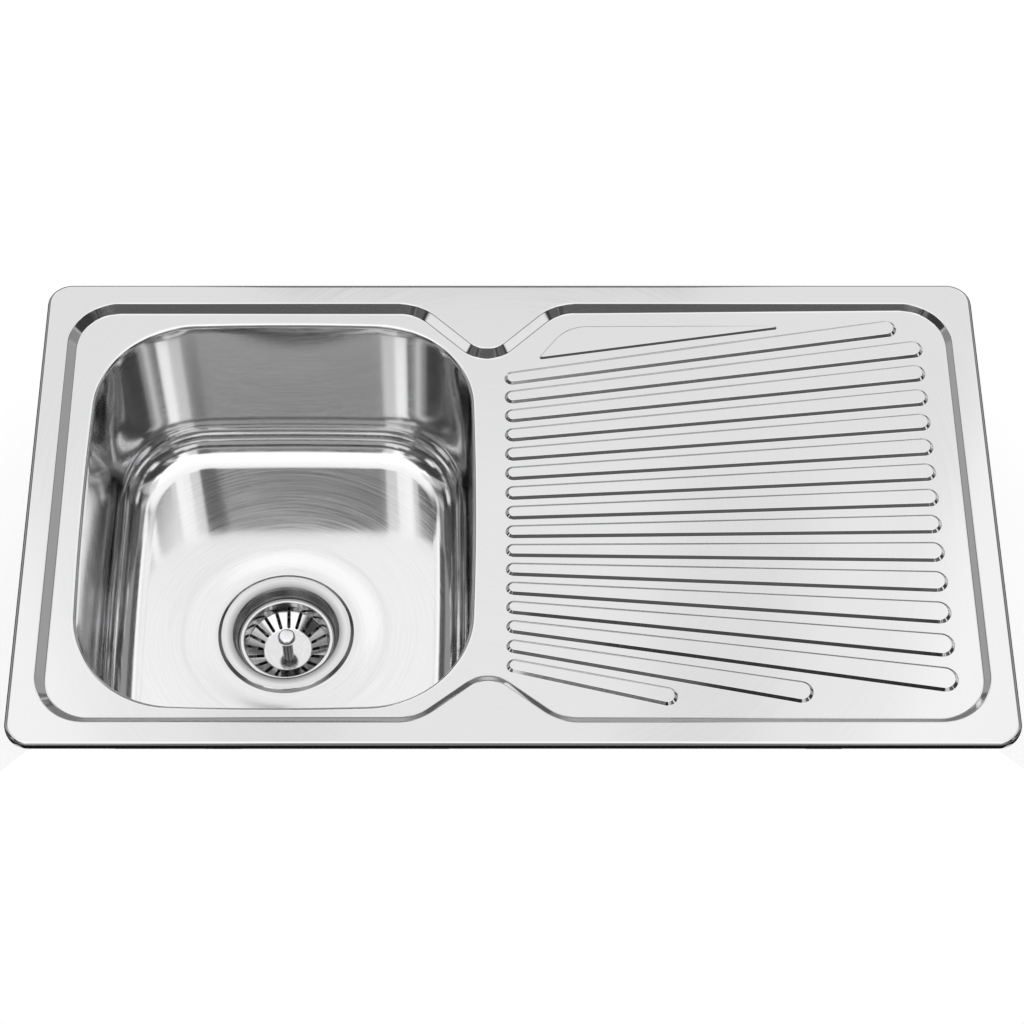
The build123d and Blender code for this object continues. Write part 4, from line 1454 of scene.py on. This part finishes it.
@dataclass
class Studio:
    """Camera of the photograph, white floor, light of the room, tent, black flags and white card."""

    camera_place: tuple[float, float, float] = (-0.0295, -0.9806, 1.8557)
    camera_tilt: float = 32.62
    lens: float = 96.12
    shift: float = 0.0366
    clip: tuple[float, float] = (0.05, 60.0)
    floor_z: float = -0.2495
    floor_reach: float = 24.0
    floor_grey: float = 0.62
    floor_glow: float = 0.5
    room_light: float = 0.9
    tent_radius: float = 8.0
    flag_x: tuple[float, float] = (-0.415, 0.415)  # the opening that the sink hangs in
    flag_y: tuple[float, float] = (-0.03, 0.455)
    flag_z: float = -0.055
    flag_width: float = 1.5
    flag_glow: float = 0.01
    card_share: float = 0.25  # how far along the way from the camera to the sink the card is held
    card_top: tuple[float, float, float] = (0.37, -0.0075, -0.0006)  # just below the front edge
    card_foot: tuple[float, float, float] = (0.8, -0.42, 0.0)
    cloths: tuple[Cloth, ...] = (
        Cloth("high", (0.0, 180.0), (62.0, 91.0), 3.0, 1.2),
        Cloth("horizon_side", (96.0, 150.0), (-90.0, 17.0), 6.0, 0.38),
        Cloth("horizon_back", (138.0, 180.0), (-90.0, 1.0), 4.0, 0.04),
        Cloth("horizon_dark", (146.0, 165.0), (1.0, 23.0), 4.0, 0.14),
        Cloth("back_horizon", (162.5, 180.0), (1.0, 24.0), 3.0, 0.26),
        Cloth("far_side", (104.0, 150.0), (18.0, 42.0), 5.0, 0.3),
        Cloth("far_side_dark", (128.0, 152.0), (40.0, 52.5), 4.0, 0.1),
        Cloth("far_side_high", (104.0, 150.0), (53.0, 64.0), 3.0, 0.75),
        Cloth("side_black", (42.0, 100.0), (4.0, 61.5), 3.0, 0.05),
        Cloth("side_low", (41.0, 60.0), (28.0, 42.0), 4.0, 0.13),
        Cloth("side_high", (94.0, 109.0), (56.0, 66.0), 3.0, 1.25),
        Cloth("wall_white", (11.5, 41.5), (48.6, 64.0), 2.0, 0.74),
        Cloth("wall_bright", (28.5, 43.0), (48.0, 64.0), 3.0, 1.15),
        Cloth("wall_bright_high", (40.0, 53.0), (55.5, 64.0), 3.0, 1.2),
        Cloth("wall_edge_high", (52.0, 59.0), (55.5, 64.0), 2.5, 0.75),
        Cloth("wall_grey", (47.5, 68.0), (45.0, 57.0), 3.0, 0.3),
        Cloth("wall_stripe", (54.0, 61.0), (45.0, 57.0), 2.0, 0.66),
        Cloth("low_white", (11.0, 42.0), (29.0, 43.5), 3.0, 0.82),
        Cloth("low_grey", (0.0, 45.0), (4.0, 28.0), 4.0, 0.1),
        Cloth("corner_dark", (29.5, 42.0), (37.0, 48.0), 3.0, 0.08),
        Cloth("front_grey", (0.0, 12.6), (47.0, 66.3), 3.0, 0.28),
        Cloth("front_dark", (0.0, 5.8), (49.5, 66.3), 2.5, 0.19),
        Cloth("front_glow", (0.0, 12.0), (46.6, 50.2), 2.0, 0.6),
        Cloth("front_patch", (0.0, 12.6), (57.0, 67.5), 3.0, 0.13),
        Cloth("front_low", (0.0, 11.0), (26.0, 39.5), 2.5, 0.36),
        Cloth("front_black", (0.0, 12.5), (38.8, 46.0), 2.0, 0.02),
        Cloth("front_black_wide", (0.0, 32.0), (42.6, 48.2), 2.0, 0.12),
        Cloth("rib_front", (12.0, 24.5), (39.9, 44.0), 1.5, 0.12),
        Cloth("flank_white", (66.0, 79.0), (25.0, 35.0), 3.0, 0.97),
        Cloth("back_white", (150.0, 180.0), (22.0, 91.0), 4.0, 1.12),
        Cloth("back_side", (159.0, 180.0), (22.0, 64.0), 4.0, 1.0),
        Cloth("back_middle", (165.0, 180.0), (54.0, 64.0), 4.0, 0.9),
        Cloth("back_centre", (172.0, 180.0), (54.0, 64.0), 4.0, 0.98),
        Cloth("back_low", (159.0, 180.0), (22.0, 54.0), 3.0, 0.93),
        Cloth("back_line", (171.5, 180.0), (25.0, 49.4), 1.6, 0.1),
    )

    def camera(self) -> None:
        """Makes the photograph's camera."""
        data = bpy.data.cameras.new("photo_camera")
        data.lens = self.lens
        data.sensor_width = 36.0
        data.shift_x = self.shift
        data.clip_start, data.clip_end = self.clip
        camera = bpy.data.objects.new("photo_camera", data)
        camera.location = self.camera_place
        camera.rotation_euler = (math.radians(self.camera_tilt), 0.0, 0.0)
        bpy.context.scene.collection.objects.link(camera)
        bpy.context.scene.camera = camera

    def _plane(self, name: str, corners: Sequence[Sequence[float]]) -> bpy.types.Object:
        """Makes one flat piece of the stage.

        Args:
            name: Name of the piece.
            corners: Its corners, in metres.

        Returns:
            The piece.
        """
        mesh = bpy.data.meshes.new(name)
        mesh.from_pydata([tuple(corner) for corner in corners], [], [tuple(range(len(corners)))])
        obj = bpy.data.objects.new(name, mesh)
        bpy.context.scene.collection.objects.link(obj)
        return obj

    def floor(self) -> None:
        """Lays the pale floor, which shows white and keeps the sink's soft shadow."""
        reach = self.floor_reach
        corners = [(-reach, -reach), (reach, -reach), (reach, reach), (-reach, reach)]
        floor = self._plane("studio_floor", [(x, y, self.floor_z) for x, y in corners])
        sheet = NodeSheet("floor_paper")
        paper = sheet.add("ShaderNodeBsdfDiffuse")
        paper.inputs["Color"].default_value = (self.floor_grey, self.floor_grey, self.floor_grey, 1.0)
        glow = sheet.add("ShaderNodeEmission")
        path = sheet.add("ShaderNodeLightPath")
        level = sheet.calculate("MULTIPLY", path.outputs["Is Camera Ray"], self.floor_glow)
        sheet.link(level, glow.inputs["Strength"])
        both = sheet.add("ShaderNodeAddShader")
        sheet.link(paper.outputs[0], both.inputs[0])
        sheet.link(glow.outputs[0], both.inputs[1])
        sheet.link(both.outputs[0], sheet.output.inputs["Surface"])
        floor.data.materials.append(sheet.material)

    def world(self) -> None:
        """Sets the soft light of the room, white where it is seen directly."""
        world = bpy.data.worlds.new("studio_room")
        bpy.context.scene.world = world
        world.use_nodes = True
        nodes, links = world.node_tree.nodes, world.node_tree.links
        nodes.clear()
        output = nodes.new("ShaderNodeOutputWorld")
        light = nodes.new("ShaderNodeBackground")
        light.inputs["Color"].default_value = (1.0, 1.0, 1.0, 1.0)
        light.inputs["Strength"].default_value = self.room_light
        links.new(light.outputs[0], output.inputs["Surface"])

    def tent(self) -> None:
        """Hangs the tent of light and dark cloths that only the steel reflects."""
        mesh = bpy.data.meshes.new("studio_tent")
        work = bmesh.new()
        bmesh.ops.create_uvsphere(work, u_segments=64, v_segments=32, radius=self.tent_radius)
        work.to_mesh(mesh)
        work.free()
        tent = bpy.data.objects.new("studio_tent", mesh)
        bpy.context.scene.collection.objects.link(tent)
        for ray in ("camera", "diffuse", "shadow", "transmission"):
            setattr(tent, f"visible_{ray}", False)
        mesh.materials.append(TentCloth(self.cloths).build())

    def flags(self) -> None:
        """Lays black flags low round the sink, which the outsides of its edges reflect."""
        sheet = NodeSheet("black_flag_cloth")
        glow = sheet.add("ShaderNodeEmission")
        glow.inputs["Strength"].default_value = self.flag_glow
        sheet.link(glow.outputs[0], sheet.output.inputs["Surface"])
        (left, right), (front, back), outer = self.flag_x, self.flag_y, self.flag_width
        spans = {
            "front": (-outer, outer, front - outer, front),
            "back": (-outer, outer, back, back + outer),
            "left": (-outer, left, front, back),
            "right": (right, outer, front, back),
        }
        for side, (west, east, south, north) in spans.items():
            corners = [(west, south), (east, south), (east, north), (west, north)]
            card = self._plane(f"black_flag_{side}", [(x, y, self.flag_z) for x, y in corners])
            for ray in ("camera", "diffuse", "transmission", "shadow", "volume_scatter"):
                setattr(card, f"visible_{ray}", False)
            card.data.materials.append(sheet.material)

    def mask(self) -> None:
        """Holds a white card near the camera, just below the sink's front edge in the photograph."""
        camera = Vector(self.camera_place)
        hidden = [
            Vector((hand * x, y, z))
            for (x, y, z), hands in ((self.card_top, (-1, 1)), (self.card_foot, (1, -1)))
            for hand in hands
        ]
        card = self._plane("white_card", [camera + (place - camera) * self.card_share for place in hidden])
        for name in ("diffuse", "glossy", "transmission", "shadow", "volume_scatter"):
            setattr(card, f"visible_{name}", False)
        # Painted light: the card glows white to camera rays only, and covers the bowl below the front edge
        # and the sink's soft shadow on the floor there
        sheet = NodeSheet("white_card_glow")
        glow = sheet.add("ShaderNodeEmission")
        sheet.link(glow.outputs[0], sheet.output.inputs["Surface"])
        card.data.materials.append(sheet.material)

    def build(self) -> None:
        """Sets up the stage."""
        self.camera()
        self.floor()
        self.world()
        self.tent()
        self.flags()
        self.mask()
        settings = bpy.context.scene.view_settings
        settings.view_transform = "Standard"


@dataclass
class CarriedNodes:
    """Nodes of the model that keep their own mesh, each under a finish of its own."""

    finishes: dict[str, object] = field(
        default_factory=lambda: {
            "rail": PlatedSteel("zinc_rail"),
            "claw": PlatedSteel("zinc_clip", (0.62, 0.64, 0.65)),
            "clip": PlatedSteel("zinc_clip_small", (0.64, 0.66, 0.68)),
            "seal": Moulded("seal_foam", (0.05, 0.05, 0.055), 0.9, 1400.0, 0.6, 0.0004),
            "damping_pad": Moulded("damping_sheet", (0.06, 0.06, 0.065), 0.75, 260.0, 0.5, 0.0006),
            "cup_gasket": Moulded("gasket_rubber", (0.02, 0.02, 0.02), 0.6),
            "under_gasket": Moulded("gasket_rubber_under", (0.02, 0.02, 0.02), 0.6),
            "basket_stopper": Moulded("stopper_rubber", (0.02, 0.02, 0.02), 0.5),
            "waste_body": Moulded("body_plastic", (0.75, 0.75, 0.74), 0.42, 500.0, 0.05),
            "waste_tail": Moulded("tail_plastic", (0.75, 0.75, 0.74), 0.42, 500.0, 0.05),
            "hub_insert": Steel("insert_brass", (0.72, 0.52, 0.22), 0.25, 0.35, WASTE_AXIS),
            "waste_screw": Steel("screw_steel", (0.72, 0.72, 0.73), 0.2, 0.3, WASTE_AXIS),
        }
    )

    def build(self) -> None:
        """Dresses every node that is still shown."""
        made: dict[str, bpy.types.Material] = {}
        for name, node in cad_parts.items():
            if node.hide_render:
                continue
            key = max((k for k in self.finishes if name.startswith(k)), key=len)
            if key not in made:
                made[key] = self.finishes[key].build()
            node.data.materials.clear()
            node.data.materials.append(made[key])
            LOG.info("%s: node dressed as %s", name, made[key].name)


def main() -> None:
    """Builds the classes in order."""
    logging.basicConfig(level=logging.INFO, format="%(name)s: %(message)s")
    bright = {
        "top": Steel(
            "top_steel", (0.80, 0.80, 0.803), 0.04, 0.09,
            # Painted shade: the rim, above 4 mm, is one part in a hundred darker than the deck and board
            grain_depth=0.008, tone=(0.99, 1.01), painted_shade_zone=PaintedShadeZone(0.004, 0.99),
        ),
        "bowl": Steel("bowl_steel", (0.88, 0.88, 0.884), 0.07, 0.14, WASTE_AXIS),
        # Painted shade: the cup below its flange is dark steel (0.38), as it lies in shade under the basket;
        # above the flange's top the tone is lifted 2.1 times to bright steel, and the polish is finer
        "cup": Steel(
            "cup_steel", (0.38, 0.38, 0.384), 0.24, 0.34, WASTE_AXIS,
            painted_shade_zone=PaintedShadeZone(-0.1664, 2.1, 0.25, 0.0003),
        ),
        "basket": Steel("basket_steel", (0.84, 0.84, 0.845), 0.08, 0.14, WASTE_AXIS),
        # Painted shade: the knob's stem is dark steel (0.13), as it lies in shade under the head; above the
        # head's lower edge the tone is lifted 6.6 times to bright steel
        "knob": Steel(
            "knob_steel", (0.13, 0.13, 0.132), 0.12, 0.2, WASTE_AXIS, painted_shade_zone=PaintedShadeZone(-0.1785, 6.6)
        ),
    }
    bowl, waste = Bowl(), Waste()
    PressedTop().build(bowl.seam(), bright["top"].build())
    bowl.build(bright["bowl"].build())
    waste.cup(bright["cup"].build())
    waste.basket(bright["basket"].build())
    waste.knob(bright["knob"].build())
    CarriedNodes().build()
    Studio().build()


if __name__ == "__main__":
    main()
